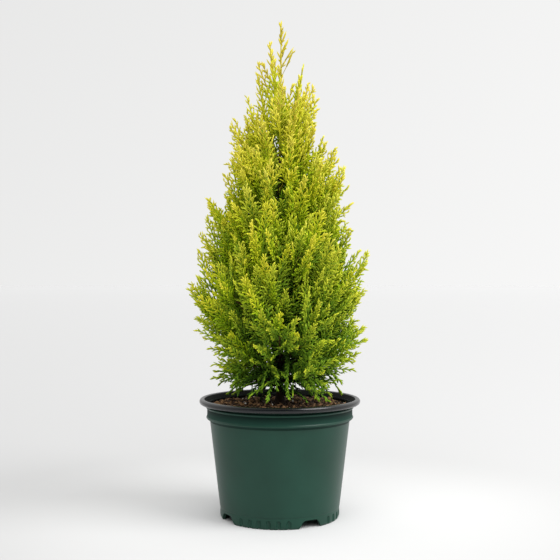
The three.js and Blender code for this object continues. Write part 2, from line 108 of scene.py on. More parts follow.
# The furthest tips to the left (-X) and to the right (+X) of the middle at each height.
CROWN_TIP_Z = 780
CROWN_OUTLINE = np.array([
    [178, 98, 94], [206, 104, 96], [230, 112, 130], [282, 127, 141],
    [345, 147, 138], [395, 137, 141], [445, 130, 136], [497, 126, 114],
    [548, 97, 107], [588, 87, 92], [630, 79, 71], [673, 66, 67],
    [700, 45, 53], [737, 27, 34], [755, 12, 15], [CROWN_TIP_Z, 4, 6],
], float)

# The growing rule of the boughs and masses.
SEED = 68
BOUGHS = 26
LOW_BOUGHS = 12
GOLDEN_ANGLE = math.pi * (3 - math.sqrt(5))
FIRST_AZIMUTH = 0.35
AZIMUTH_SPREAD = 0.3
LOWEST_TIP_Z = 204
TIP_SPAN = 582
TIP_SPREAD = 12
HEIGHT_POWER = 0.64
LEAST_RISE = -12
MOST_RISE = 118
FULL_RISE_SHARE = 0.5
RISE_POWER = 0.8
LEAST_REACH = 0.92
BEND_OUT = 0.6
BEND_UP = 0.3
BOUGH_SHARE = 0.22
STEM_SHARE = 0.72
BOUGH_ROOT_SHARE = 0.5
BOUGH_END_SHARE = 0.36
THINNEST_BOUGH = 0.9
THICKEST_BOUGH = 2.8
LONGEST_LINE = 150
STEM_END_RADIUS = 0.9
TWIG_ROOT_SHARE = 0.55
TWIG_END_RADIUS = 0.62
MOST_TWIGS = 9
LEAST_TWIGS = 5
LEADER_TWIGS = 7
FIRST_TWIG_SHARE = 0.05
LAST_TWIG_SHARE = 0.86
TWIG_ANGLE = 0.62
TWIG_LIFT = 0.4
TWIG_LENGTH = 0.42
TWIG_SHORTENING = 0.8
MASS_TURN = 2.2
TWIG_TURN_SPREAD = 0.7
TRIES = 14
TRY_TURN = 0.9
SHRINK = 0.95
TIP_SHRINK = 0.03
SPRAY_LENGTH = 88
LEADER_SPRAY_LENGTH = 32
SPRAY_SINK = 5
SPRAY_TEETH = 4
SPINE_WIDTH = 0.045
TOOTH_LENGTH = 0.44
TOOTH_SHORTENING = 0.5
TOOTH_FORWARD = 0.78
TOOTH_OUT = 0.58
NOTCH_BEHIND = 0.24
LEAST_ROOM = 34
ROOM_BETWEEN = 1.6
ROOM_OUTSIDE = 3
ROOM_AT_TRUNK = 1.5
ROOM_OVER_POT = 3
SOIL_REACH = 108

# Shoots, and the sprigs that they make.
SHOOT_GIRTH = 1.38
SHOOT_FOOT = 0.86
SHOOT_FULL_SHARE = 0.7
SHOOT_SINK = 0.7
SHOOT_STEP = 5.0
SHOOT_SHARES = (0.14, 0.78)
SHOOT_TAPER = (1.1, 0.7)
SHOOT_OFF_PLANE = 0.36
FULL_SPRIG = {"fullness": 0.85, "fewer": 1.3, "share": 0.42, "limits": (7.5, 14.5),
              "spread": (0.5, 0.66)}
SLIM_SPRIG = {"fullness": 1.1, "fewer": 3.2, "share": 0.36, "limits": (7, 11),
              "spread": (0.46, 0.62)}
SPRIG_SIZES = [38, 30, 23, 17, 12.5, 9]
SPRIG_KINDS = 3

# Fronds. A pair of heights is where a change starts and where it is complete.
ALOFT_Z = (550, 670)
LOW_Z = (330, 210)
SIDE_ALOFT_Z = (540, 670)
THIN_Z = (600, 680)
SLIM_Z = (570, 700)
STEEP_Z = (560, 660)
CLIMB_Z = (210, 340)
SPRIG_SPACING = 5.3
SPRIG_SHARE = 0.42
PLUME_SPRIG_SHARE = 0.4
SPRIG_TILT = 0.5
SPRIG_ANGLE = (0.52, 0.66)
SPRIG_ANGLE_CHANGE = (1.1, 0.75)
SPRIG_TAPER = (1.0, 0.22)
LEAST_SPRIG = 8.5
MOST_SPRIG = 38.0
LOW_SPRIG = 0.76
ALOFT_SPACING = 1.2
ALOFT_TILT = 0.8
ALOFT_ANGLE = 0.9
ALOFT_SPRIG = 1.06
FROND_CONTRAST = 1.1
FROND_CURL = 0.05
RIB_GIRTHS = (0.9, 1.45)
LONGEST_RIB = 90
TIP_SPRIG_SHARE = 0.16
LEAST_TIP_SPRIG = 9.0
EDGE_ON = 0.75
EDGE_ROLL = 0.8
RADIAL_SHARE = 0.86
GREEN_STEM_Z = 600
LOW_PLAIN_TIPS_Z = 265
PLAIN_TIPS_Z = 610
FROND_TRIES = 8

# The front stretches where the trunk shows, and how far to its sides it is kept clear.
WINDOWS = [(492, 527), (552, 574), (582, 600)]
WINDOW_HALF_WIDTH = 8
WINDOW_SHARE = 0.93

# Curves over height: the heights, then the values at them.
RIB_GIRTH_AT = (570, 670, 735), (1, 1.25, 0.9)
RIB_SHADE_AT = (560, 680), (0.9, -1.2)
LEAST_SPRIG_AT = (570, 680), (1, 1.2)
LIFT_AT = (190, 290), (-0.22, 0.08)
SIDE_SPACING_AT = (230, 270, 320, 350), (1, 1.2, 1.2, 1)
ROLL_AT = (520, 640), (1, 0.5)
SKIPPED_AT = (610, 660, 700, 735), (0, 0.35, 0.55, 0.8)
FINE_LIMBS_AT = (204, 340), (0.45, 1)

# Tones: curves over height too, but for the painted shade inside the crown, which runs over the
# share of the crown: deeper sprigs take darker, greener tints, partly the greener inner foliage and
# partly painted shade.
TONE_FOOT_Z = 180
TONE_SPAN = 600
MIDDLE_TONE = 4.2
TONE_AT = ((200, 235, 290, 350, 430, 500, 620, 680, 740, 775),
           (0.5, 2.3, 1.6, 2.4, 2.9, 3.7, 5.6, 5.0, 4.6, 3.6))
PAINTED_INNER_SHADE_AT = (0, 0.25, 0.55, 0.8, 1), (4.3, 4.8, 4.5, 2.9, 1.4)
# Lighter towards a frond's tip: young growth there, and painted shade towards its base.
OUTWARD_AT = (205, 290), (1.5, 2.6)
SCATTER_AT = (520, 640), (0.6, 0.3)
OCHRE_Z = (635, 735)

# Finer limbs, and the fronds low down and on the trunk.
FINE_LIMBS = 104
FINE_TOP_Z = 738
FINE_REACH = (0.72, 0.98)
SKIRT_FRONDS = 25
SKIRT_Z = (196, 285)
SKIRT_LENGTH = (66, 104)
FRINGE = 46
FRINGED_TO_Z = 360
FRINGE_REACH = (30, 78)
FURTHEST_FRINGE = 98
FRINGE_FOOT = (184, 214)
FRINGE_SHARE = 0.22
FRINGE_SPACING = 4.0
FOOT_FRONDS = 30
FOOT_FROND_Z = (188, 244)
FOOT_FROND_REACH = (24, 46)
TRUNK_FROND_Z = 206
FINE_GROUPS = [("low", 0, 28), ("middle", 28, 52), ("upper", 52, 76), ("top", 76, FINE_LIMBS)]
MASS_GROUPS = [(0, 4), (4, 8), (8, 12), (12, 16), (16, 20), (20, 27)]

# The potting mix's bed and the plastics.
SOIL_RINGS = 44
SOIL_SIDES = 120
CLEAR_OF_TRUNK = 9.5
PLASTIC_GRAIN_DEPTH = 0.0004

# Studio. Its lengths are in metres.
BACKDROP = 0.885
# The floor's shades are painted light: lighter near the pot, darker to the left, away from the key,
# and lighter far out to meet the backdrop.
NEAR_FLOOR = 0.645
FAR_FLOOR = 0.515
PAINTED_LIGHT_SLANT = 0.17
FLOOR_DIMS = (0.15, 0.6)
HORIZON_RISE = (4, 36)
HORIZON_GAIN = 1.036
FLOOR_RADIUS = 60
ROOM_LEVEL = 0.42
SIDE_SOFTBOXES = 0.34
TOP_SOFTBOX = 0.85
DIM_ROOM = 0.88
KEY_STRENGTH = 2.15
KEY_ELEVATION = math.radians(47)
KEY_AZIMUTH = math.radians(-26)
FILL_STRENGTH = 1.9
FILL_AT = (-0.5, -4.5, 5.4)
LIGHTS_AIM = Vector((0, 0, 0.3))
CAMERA_AT = (0.0003, -1.505, 0.3722)
CAMERA_LENS = 61.07


# Small helpers

def mix(a, b, t):
    return a + (b - a) * t


def clamp(value, low, high):
    return min(high, max(low, value))


def share_between(value, start, end):
    """How far a value has come from a start to an end, from 0 to 1."""
    return np.clip((value - start) / (end - start), 0, 1)


def unit(vector):
    return vector / np.linalg.norm(vector, axis=-1, keepdims=True)


def turned(radius, angle, z):
    return np.array([radius * math.cos(angle), radius * math.sin(angle), z])


def seeded(seed):
    """The drawing rule of the solids: random numbers from 0 to 1, the same on every run."""
    word_mask = 0xFFFFFFFF
    state = seed & word_mask

    def draw():
        nonlocal state
        state = (state + 0x6D2B79F5) & word_mask
        word = ((state ^ (state >> 15)) * (state | 1)) & word_mask
        word ^= (word + (word ^ (word >> 7)) * (word | 61)) & word_mask
        return (word ^ (word >> 14)) / 4294967296

    return draw


class Bend:
    """A line with one bend: it starts at a, heads for b and ends at c."""

    def __init__(self, a, b, c):
        self.a, self.b, self.c = np.array(a, float), np.array(b, float), np.array(c, float)

    def at(self, share):
        t = np.asarray(share, float)[..., None]
        return (1 - t) ** 2 * self.a + 2 * (1 - t) * t * self.b + t ** 2 * self.c

    def heading(self, share):
        t = np.asarray(share, float)[..., None]
        return unit((1 - t) * (self.b - self.a) + t * (self.c - self.b))

    def length(self):
        points = self.at(np.linspace(0, 1, 201))
        return float(np.linalg.norm(np.diff(points, axis=0), axis=1).sum())

    def stretch(self, start, end):
        """The part of the line between two shares of its run, as a line of its own."""
        def corner(s, t):
            return ((1 - s) * (1 - t) * self.a + (s * (1 - t) + t * (1 - s)) * self.b
                    + s * t * self.c)
        return Bend(corner(start, start), corner(start, end), corner(end, end))


# Trunk and crown

def trunk_share(z):
    return clamp((z - TRUNK_FOOT_Z) / (TRUNK_TOP_Z - TRUNK_FOOT_Z), 0, 1)


def trunk_point(z):
    share = trunk_share(z)
    return np.array([
        TRUNK_BOW * math.sin(share * math.pi * 2) * share + TRUNK_LEAN * share,
        TRUNK_BOW * math.sin(share * math.pi * 1.5) * share,
        z,
    ])


def trunk_radius(z):
    share = trunk_share(z)
    flare = ROOT_FLARE * math.exp(-share / FLARE_SHARE)
    return mix(TRUNK_FOOT_RADIUS, TRUNK_TOP_RADIUS, share ** TRUNK_TAPER) + flare


def crown_radius(z, azimuth):
    heights, left, right = CROWN_OUTLINE.T
    rightness = (1 + np.cos(azimuth)) / 2
    return mix(np.interp(z, heights, left), np.interp(z, heights, right), rightness)


def bough_root_radius(z):
    return clamp(BOUGH_ROOT_SHARE * trunk_radius(z), THINNEST_BOUGH, THICKEST_BOUGH)


def bough_rise(share):
    """How far a limb climbs from the trunk to its tip."""
    return mix(LEAST_RISE, MOST_RISE, min(1, share / FULL_RISE_SHARE) ** RISE_POWER)


def swept_line(root, reach, azimuth, rise, tip_z):
    """The line of a limb: flat off the trunk, then sweeping up."""
    return Bend(root, turned(reach * BEND_OUT, azimuth, root[2] + rise * BEND_UP),
                turned(reach, azimuth, tip_z))


def bough_line(index):
    """One bough and the stem that carries on from it."""
    draw = seeded(SEED + 101 * index)
    share = (index + 0.5) / BOUGHS
    azimuth = FIRST_AZIMUTH + index * GOLDEN_ANGLE + AZIMUTH_SPREAD * (draw() - 0.5)
    climbed = 1 - (1 - share) ** HEIGHT_POWER
    tip_z = LOWEST_TIP_Z + TIP_SPAN * climbed + TIP_SPREAD * (draw() - 0.5)
    reach = float(crown_radius(tip_z, azimuth)) * mix(LEAST_REACH, 1, draw())
    rise = bough_rise(share)
    start_z = tip_z - rise
    tilt = math.atan2(rise * BEND_UP, reach * BEND_OUT)
    out = trunk_radius(start_z) + CLEAR + bough_root_radius(start_z) * abs(math.sin(tilt))
    root = turned(out, azimuth, 0) + trunk_point(start_z)
    return swept_line(root, reach, azimuth, rise, tip_z)


def leader():
    foot = trunk_point(TRUNK_TOP_Z)
    foot[2] += CLEAR
    tip = np.array([TRUNK_LEAN, 0, CROWN_TIP_Z])
    middle = (foot + tip) / 2
    middle[0] = foot[0]
    return Bend(foot, middle, tip)


BOUGH_LINES = [bough_line(index) for index in range(BOUGHS)]
LEADER_LINE = leader()
AXES = np.array([line.at(np.arange(8) / 7) for line in [*BOUGH_LINES, LEADER_LINE]])


def distances_to_axes(points):
    start, run = AXES[:, :-1], np.diff(AXES, axis=1)
    offset = points[:, None, None, :] - start
    share = np.clip((offset * run).sum(-1) / (run * run).sum(-1), 0, 1)
    return np.linalg.norm(offset - share[..., None] * run, axis=-1).min(-1)


def in_crown(points, beyond=ROOM_OUTSIDE):
    """Which points lie inside the crown's outline, off the trunk and above the pot."""
    points = np.atleast_2d(points)
    x, y, z = points.T
    out = np.hypot(x, y)
    inside = (z <= CROWN_TIP_Z) & (out <= crown_radius(z, np.arctan2(y, x)) + beyond)
    floor = np.where(out > SOIL_REACH, RIM_TOP, SOIL_Z + SOIL_MOUND) + ROOM_OVER_POT
    middles = np.array([trunk_point(height) for height in z])
    girths = np.array([trunk_radius(height) for height in z])
    from_trunk = np.hypot(x - middles[:, 0], y - middles[:, 1])
    at_trunk = (z < TRUNK_TOP_Z + 1) & (from_trunk < girths + ROOM_AT_TRUNK)
    return inside & (z >= floor) & ~at_trunk


def in_own_space(points, own):
    if not in_crown(points).all():
        return False
    distance = distances_to_axes(np.atleast_2d(points))
    nearest_other = np.delete(distance, own, axis=1).min(1)
    return bool((nearest_other > distance[:, own] + ROOM_BETWEEN).all())


def spray_corners(length):
    """The outline corners of a plain spray, along its run and across it."""
    spine = SPINE_WIDTH * length
    corners = [(length, 0)]
    for n in range(SPRAY_TEETH):
        sign = 1 if n % 2 else -1
        share = (n + 0.6) / (SPRAY_TEETH + 0.8)
        tooth = TOOTH_LENGTH * length * (1 - TOOTH_SHORTENING * share)
        corners.append((length * share + TOOTH_FORWARD * tooth, sign * (TOOTH_OUT * tooth + spine)))
        corners.append((length * (share + NOTCH_BEHIND), sign * spine * (1 - 0.6 * share)))
    return np.array(corners)


def flattened(across, direction):
    return unit(across - direction * np.dot(across, direction))


def spray_fits(root, direction, across, length, own):
    flat = flattened(across, direction)
    run, side = spray_corners(length).T
    return in_own_space(root + run[:, None] * direction + side[:, None] * flat, own)


def rotated(vector, axis, angle):
    return (vector * math.cos(angle) + np.cross(axis, vector) * math.sin(angle)
            + axis * np.dot(axis, vector) * (1 - math.cos(angle)))


def leaned(direction, angle, roll):
    """A direction leaned away from another one, towards an angle round it."""
    reference = X_AXIS if abs(direction[2]) > 0.9 else UP
    across = rotated(unit(np.cross(reference, direction)), direction, roll)
    return direction * math.cos(angle) + across * math.sin(angle)


class Mass:
    """One mass of foliage: its stem, the twigs on it, and where its main fronds stand."""

    def __init__(self, line, start, own, end_radius, twigs, spray_length):
        self.own = own
        self.line = line
        self.stem = line.stretch(start, STEM_SHARE)
        self.stem_end = min(STEM_END_RADIUS, 0.8 * end_radius)
        self.end_radius = end_radius
        self.twigs = []
        self.fronds = []
        draw = seeded(SEED + 977 * (own + 1))
        self.grow_tip(draw)
        self.grow_twigs(draw, twigs, spray_length)

    def stem_radius(self, share):
        return mix(self.end_radius, self.stem_end, share)

    def grow_tip(self, draw):
        tip, direction = self.stem.at(1), self.stem.heading(1)
        self.tip_length = float(np.linalg.norm(self.line.at(1) - tip))
        roll = 2 * math.pi * draw()
        for k in range(TRIES):
            across = leaned(direction, math.pi / 2, roll + k * TRY_TURN)
            length = self.tip_length * (1 - TIP_SHRINK * k)
            if spray_fits(tip, direction, across, length, self.own):
                self.fronds.append((tip, direction, across, length))
                break

    def grow_twigs(self, draw, twigs, spray_length):
        whole = self.stem.length() + self.tip_length
        taken = [(self.stem.at(1) + self.line.at(1)) / 2, self.line.at(1)]
        for n in range(twigs):
            share = mix(FIRST_TWIG_SHARE, LAST_TWIG_SHARE, n / (twigs - 1))
            root, along = self.stem.at(share), self.stem.heading(share)
            first_roll = n * GOLDEN_ANGLE + MASS_TURN * self.own + TWIG_TURN_SPREAD * draw()
            angle = TWIG_ANGLE * mix(0.8, 1.25, draw())
            lift = TWIG_LIFT * draw()
            face_roll = math.pi * draw()
            wanted = spray_length * mix(0.85, 1.1, draw())
            wanted_twig = max(SPRAY_SINK + 2, whole * TWIG_LENGTH * (1 - TWIG_SHORTENING * share))
            best = None
            for k in range(TRIES):
                shrink = SHRINK ** k
                length = wanted * shrink
                direction = leaned(along, angle, first_roll + k * TRY_TURN)
                lifted = unit(direction + (UP - direction) * lift)
                bend = root + direction * (wanted_twig * shrink / 2)
                end = bend + lifted * (wanted_twig * shrink / 2)
                across = leaned(lifted, math.pi / 2, face_roll)
                if not in_own_space(np.array([end, bend]), self.own):
                    continue
                if not spray_fits(end, lifted, across, length, self.own):
                    continue
                points = [end + lifted * (part * length) for part in (0.5, 1)]
                room = min(np.linalg.norm(a - b) for a in points for b in taken)
                if room < LEAST_ROOM * (length / SPRAY_LENGTH):
                    continue
                if best is not None and room * shrink < best[0]:
                    continue
                best = (room * shrink, bend, points, (end, lifted, across, length))
            if best is None:
                continue
            _, bend, points, frond = best
            taken.extend(points)
            self.twigs.append((Bend(root, bend, frond[0]),
                               TWIG_ROOT_SHARE * self.stem_radius(share)))
            self.fronds.append(frond)


def grow_masses():
    masses = []
    for index, line in enumerate(BOUGH_LINES):
        size = clamp(float(np.linalg.norm(line.a - line.c)) / LONGEST_LINE, 0, 1)
        twigs = int(mix(LEAST_TWIGS, MOST_TWIGS, size) + 0.5)
        end_radius = bough_root_radius(line.a[2]) * (BOUGH_END_SHARE / BOUGH_ROOT_SHARE)
        length = SPRAY_LENGTH * mix(0.5, 1, size)
        masses.append(Mass(line, BOUGH_SHARE, index, end_radius, twigs, length))
    masses.append(Mass(LEADER_LINE, 0, BOUGHS, TRUNK_TOP_RADIUS, LEADER_TWIGS,
                       LEADER_SPRAY_LENGTH))
    return masses


MASSES = grow_masses()


# Finishes

def paint(red, green, blue):
    """A colour given in display values from 0 to 255."""
    def linear(value):
        value /= 255
        return value / 12.92 if value <= 0.04045 else ((value + 0.055) / 1.055) ** 2.4
    return (linear(red), linear(green), linear(blue), 1.0)


class Value:
    """A socket of a node tree, so that its maths is written as plain Python."""

    def __init__(self, nodes, socket):
        self.nodes, self.socket = nodes, socket

    def __add__(self, other):
        return self.nodes.math("ADD", self, other)

    def __sub__(self, other):
        return self.nodes.math("SUBTRACT", self, other)

    def __rsub__(self, other):
        return self.nodes.math("SUBTRACT", other, self)

    def __mul__(self, other):
        return self.nodes.math("MULTIPLY", self, other)

    def __pow__(self, other):
        return self.nodes.math("POWER", self, other)

    __radd__ = __add__
    __rmul__ = __mul__


class Nodes:
    """A node tree that is being put together."""

    def __init__(self, tree):
        self.tree = tree

    def plug(self, socket, value):
        if isinstance(value, Value):
            self.tree.links.new(value.socket, socket)
        else:
            socket.default_value = value

    def math(self, operation, first, second):
        return self.node("ShaderNodeMath", {"operation": operation}, {0: first, 1: second})

    def dot(self, first, second):
        return self.node("ShaderNodeVectorMath", {"operation": "DOT_PRODUCT"},
                         {0: first, 1: second}, out="Value")

    def node(self, kind, settings=None, sockets=None, out=0):
        made = self.tree.nodes.new(kind)
        for name, value in (settings or {}).items():
            if name == "stops":
                ramp = made.color_ramp
                while len(ramp.elements) < len(value):
                    ramp.elements.new(0.5)
                for stop, (place, colour) in zip(ramp.elements, value):
                    stop.position, stop.color = place, colour
            else:
                setattr(made, name, value)
        for name, value in (sockets or {}).items():
            self.plug(made.inputs[name], value)
        return Value(self, made.outputs[out])


class Finish(Nodes):
    """A material on its way to being finished."""

    def __init__(self, name, colour, roughness, gloss):
        self.material = bpy.data.materials.new(name)
        self.material.use_nodes = True
        super().__init__(self.material.node_tree)
        self.shader = self.tree.nodes["Principled BSDF"]
        self.material.diffuse_color = colour
        self.feed(Base_Color=colour, Roughness=roughness, Specular_IOR_Level=gloss)

    def feed(self, **sockets):
        for name, value in sockets.items():
            self.plug(self.shader.inputs[name.replace("_", " ")], value)

    def place(self, scale=(1, 1, 1)):
        """Where a point is on the object, stretched by scale."""
        at = self.node("ShaderNodeTexCoord", out="Object")
        return self.node("ShaderNodeMapping", None, {"Vector": at, "Scale": scale})

    def height(self):
        """How high a point is, in millimetres."""
        return self.dot(self.place(), UP / MM)

    def span(self, value, start, end, first, last):
        """From the first level to the last one, as a value runs from its start to its end."""
        return self.node("ShaderNodeMapRange", None, {
            "Value": value, "From Min": start, "From Max": end, "To Min": first, "To Max": last})

    def noise(self, scale, detail=2.0, roughness=0.5, at=None):
        return self.node("ShaderNodeTexNoise", None, {
            "Vector": at or self.place(), "Scale": scale, "Detail": detail,
            "Roughness": roughness,
        }, out="Fac")

    def ramp(self, value, *stops):
        return self.node("ShaderNodeValToRGB", {"stops": stops}, {"Fac": value}, out="Color")

    def blend(self, share, first, second):
        return self.node("ShaderNodeMix", {"data_type": "RGBA"},
                         {"Factor": share, 6: first, 7: second}, out=2)

    def mottle(self, spots, edge, low, high, least, spread):
        """A colour and a roughness that follow the same spots."""
        self.feed(Base_Color=self.ramp(spots, (edge, low), (1 - edge, high)),
                  Roughness=least + spread * spots)

    def bump(self, height, strength, distance):
        self.feed(Normal=self.node("ShaderNodeBump", None, {
            "Strength": strength, "Distance": distance, "Height": height,
        }, out="Normal"))


def plastic(name, colours, roughness, gloss, cloud_scale, least, spread, grain_scale, strength):
    """Smooth plastic, faintly clouded from its second colour to its third, with a fine grain."""
    plain, low, high = (paint(*colour) for colour in colours)
    made = Finish(name, plain, roughness, gloss)
    made.mottle(made.noise(cloud_scale, 3), 0.3, low, high, least, spread)
    made.bump(made.noise(grain_scale, 2), strength, PLASTIC_GRAIN_DEPTH)
    return made.material


def green_with_painted_rim_shade():
    """The same plastic, greyer and less glossy, with painted shade: darker towards the top of the
    collar under the rim, and a painted dark band under the collar's foot.
    """
    made = Finish("green_plastic_painted_rim_shade", paint(22, 58, 47), 0.6, 0.1)
    cloud = made.noise(14, 3)
    height = made.height()
    shade = (made.span(height, COLLAR_FOOT_Z + 3, COLLAR_TOP_Z - 1, 0, 1)
             + made.span(height, COLLAR_FOOT_Z - 2.4, COLLAR_FOOT_Z - 0.8, 0.6, 0))
    greyer_green = made.ramp(cloud, (0.3, paint(28, 58, 49)), (0.7, paint(32, 64, 54)))
    # Painted shade: the colour runs to a dark green under the rim and under the collar's foot.
    made.feed(Base_Color=made.blend(shade, greyer_green, paint(5, 30, 24)),
              Roughness=0.55 + 0.1 * cloud)
    made.bump(made.noise(1400, 2), 0.12, PLASTIC_GRAIN_DEPTH)
    return made.material


def black_lining():
    made = Finish("black_lining", paint(13, 16, 14), 0.75, 0.08)
    made.mottle(made.noise(900, 2), 0.35, paint(9, 12, 10), paint(17, 21, 18), 0.7, 0.1)
    return made.material


def mix_finish():
    made = Finish("potting_mix_bed", paint(52, 36, 27), 0.95, 0.25)
    crumb = made.noise(330, 6, 0.7)
    # Damp patches of the mix, darker at random.
    darkening = made.noise(38, 3)
    dark = made.ramp(crumb, (0.32, paint(27, 20, 15)), (0.52, paint(66, 49, 35)),
                     (0.74, paint(106, 82, 60)))
    made.feed(Base_Color=made.blend(0.5 * darkening, dark, paint(33, 24, 18)),
              Roughness=0.8 + 0.2 * crumb)
    made.bump(crumb, 0.8, 0.002)
    return made.material


def grainy(name, low, high, scale, roughness=0.9, strength=0.5):
    """A crumb, chip or fibre of one stuff, mottled between two colours."""
    made = Finish(name, high, roughness, 0.25)
    spots = made.noise(scale, 4, 0.6)
    made.mottle(spots, 0.35, low, high, roughness - 0.1, 0.2)
    made.bump(spots, strength, 0.0008)
    return made.material


def bark_finish(name, deep, ridge, moss, stretch=0.16):
    """Fibrous bark, drawn out along the limb, with painted shade near the potting mix: darker
    towards the foot.
    """
    made = Finish(name, ridge, 0.85, 0.25)
    strands = made.noise(520, 5, 0.62, made.place((1, 1, stretch)))
    patches = made.noise(60, 3)
    fibre = made.ramp(strands, (0.34, deep), (0.66, ridge))
    # Painted shade: near black from 300 mm down to 220 mm, low down on every limb.
    darkening = made.span(made.height(), 220, 300, 0.8, 0)
    dry = made.blend(patches ** 3, fibre, moss)
    made.feed(Base_Color=made.blend(darkening, dry, paint(17, 12, 9)), Roughness=0.75 + 0.2 * strands)
    made.bump(strands, 0.7, 0.0012)
    return made.material


# The foliage's colours, from the darkest, which paint the shade inside the crown, to the youngest
# tips.
FOLIAGE_TINTS = {
    "gold": [
        (30, 50, 17), (43, 73, 20), (61, 98, 22), (85, 125, 24), (110, 148, 25), (135, 168, 27),
        (157, 186, 29), (178, 198, 34), (199, 206, 40), (212, 210, 50), (221, 214, 63),
        (229, 219, 78),
    ],
    "fresh": [
        (30, 50, 21), (43, 71, 26), (60, 95, 31), (81, 120, 36), (103, 143, 39), (125, 161, 41),
        (149, 174, 43), (169, 188, 45), (189, 200, 50), (206, 210, 58), (219, 219, 72),
        (229, 225, 88),
    ],
    "ochre": [
        (52, 46, 16), (72, 66, 18), (94, 88, 20), (118, 110, 24), (140, 131, 27), (160, 149, 31),
        (176, 163, 36), (190, 176, 42), (202, 187, 50), (212, 197, 60), (219, 204, 71),
        (226, 212, 86),
    ],
}
TINTS = len(FOLIAGE_TINTS["gold"])


def foliage_finishes():
    return [Finish(f"shoot_{family}_{n:02d}", paint(*tint), 0.6, 0.12).material
            for family, tints in FOLIAGE_TINTS.items() for n, tint in enumerate(tints)]


# Meshes

class Stamp:
    """A small shape made once, to be pressed out many times into one joined mesh."""

    def __init__(self, made):
        made.verts.index_update()
        self.points = np.array([vert.co[:] for vert in made.verts])
        self.corners = np.array([vert.index for face in made.faces for vert in face.verts])
        self.sides = np.array([len(face.verts) for face in made.faces])
        self.tones = np.array([face.material_index for face in made.faces])
        made.free()


class Heap:
    """Copies of stamps, gathered into one joined mesh."""

    def __init__(self):
        self.points, self.corners, self.sides, self.slots = [], [], [], []
        self.count = 0

    def press(self, stamp, points, slots):
        """Adds one copy of the stamp for each set of points, in the finish slots given."""
        copies, size = points.shape[:2]
        starts = self.count + size * np.arange(copies)
        self.points.append(points.reshape(-1, 3))
        self.corners.append((stamp.corners + starts[:, None]).ravel())
        self.sides.append(np.tile(stamp.sides, copies))
        self.slots.append(np.broadcast_to(slots, (copies, len(stamp.sides))).ravel())
        self.count += copies * size

    def piece(self, name, finishes, slot, nodes=()):
        """The joined mesh as one piece of the plant, in metres."""
        mesh = bpy.data.meshes.new(name)
        points, corners, sides, slots = map(
            np.concatenate, (self.points, self.corners, self.sides, self.slots))
        mesh.vertices.add(len(points))
        mesh.vertices.foreach_set("co", (points * MM).ravel())
        mesh.loops.add(len(corners))
        mesh.loops.foreach_set("vertex_index", corners)
        mesh.polygons.add(len(sides))
        mesh.polygons.foreach_set("loop_start", np.concatenate([[0], np.cumsum(sides)[:-1]]))
        used = np.unique(slots)
        for index in used:
            mesh.materials.append(finishes[index])
        mesh.polygons.foreach_set("material_index", np.searchsorted(used, slots))
        mesh.update(calc_edges=True)
        mesh.shade_smooth()
        keep(name, mesh, slot, nodes)


def placed(name, data):
    """A new object in the scene."""
    made = bpy.data.objects.new(name, data)
    bpy.context.scene.collection.objects.link(made)
    return made


def keep(name, mesh, slot, nodes=()):
    piece = placed(name, mesh)
    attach(piece, "root")
    if nodes:
        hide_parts(*nodes)


def everything(made):
    return [*made.verts, *made.edges, *made.faces]


def cut_at(made, parts, height):
    return bmesh.ops.bisect_plane(made, geom=parts, plane_co=(0, 0, height), plane_no=(0, 0, 1))


def round_off(made, verts, rounding, segments):
    bmesh.ops.bevel(made, geom=verts, offset=rounding, segments=segments, profile=0.5,
                    affect="VERTICES", material=-1)


def verts_in(parts):
    return [part for part in parts if isinstance(part, bmesh.types.BMVert)]


def tube(sides, rings):
    """A plain tube along Z from 0 to 1, cut into rings, to be bent along a limb's line."""
    made = bmesh.new()
    bmesh.ops.create_cone(made, cap_ends=True, segments=sides, radius1=1, radius2=1, depth=1)
    bmesh.ops.translate(made, verts=made.verts, vec=(0, 0, 0.5))
    for n in range(1, rings):
        cut_at(made, everything(made), n / rings)
    return Stamp(made)


def bent(stamp, line, radius_at):
    """The tube's points laid along a line, with its radius a function of the share run."""
    share = stamp.points[:, 2]
    heading = line.heading(share)
    chord = unit(line.c - line.a)
    side = unit(np.cross(X_AXIS if abs(chord[2]) > 0.9 else UP, heading))
    out = np.cross(heading, side)
    radius = radius_at(share)[:, None]
    x, y = stamp.points[:, 0, None], stamp.points[:, 1, None]
    return line.at(share) + (side * x + out * y) * radius


# Shoots, sprigs and fronds

RIB = tube(4, 4)
STEM_TUBE = tube(6, 10)
TWIG_TUBE = tube(5, 5)
BOUGH_TUBE = tube(10, 16)
TRUNK_TUBE = tube(24, 170)


def shoot(made, place, length, girth, sides, fullness=1.0):
    """A green shoot along +X: fullest past its middle, and coming to a short point."""
    cone = bmesh.ops.create_cone(made, cap_ends=True, segments=sides, radius1=SHOOT_FOOT * girth,
                                 radius2=0, depth=length + SHOOT_SINK)
    verts = cone["verts"]
    edges = {edge for vert in verts for edge in vert.link_edges}
    faces = {face for vert in verts for face in vert.link_faces}
    full_z = (SHOOT_FULL_SHARE - 0.5) * length
    ring = verts_in(cut_at(made, [*verts, *edges, *faces], full_z)["geom_cut"])
    swell = fullness * girth / math.hypot(*ring[0].co[:2])
    bmesh.ops.scale(made, verts=ring, vec=(swell, swell, 1))
    for face in {face for vert in ring for face in vert.link_faces}:
        if face.calc_center_median().z > full_z:
            face.material_index = 1
    lay = Matrix.Rotation(math.pi / 2, 4, "Y")
    lay.translation = ((length - SHOOT_SINK) / 2, 0, 0)
    bmesh.ops.transform(made, matrix=place @ lay, verts=[*verts, *ring])


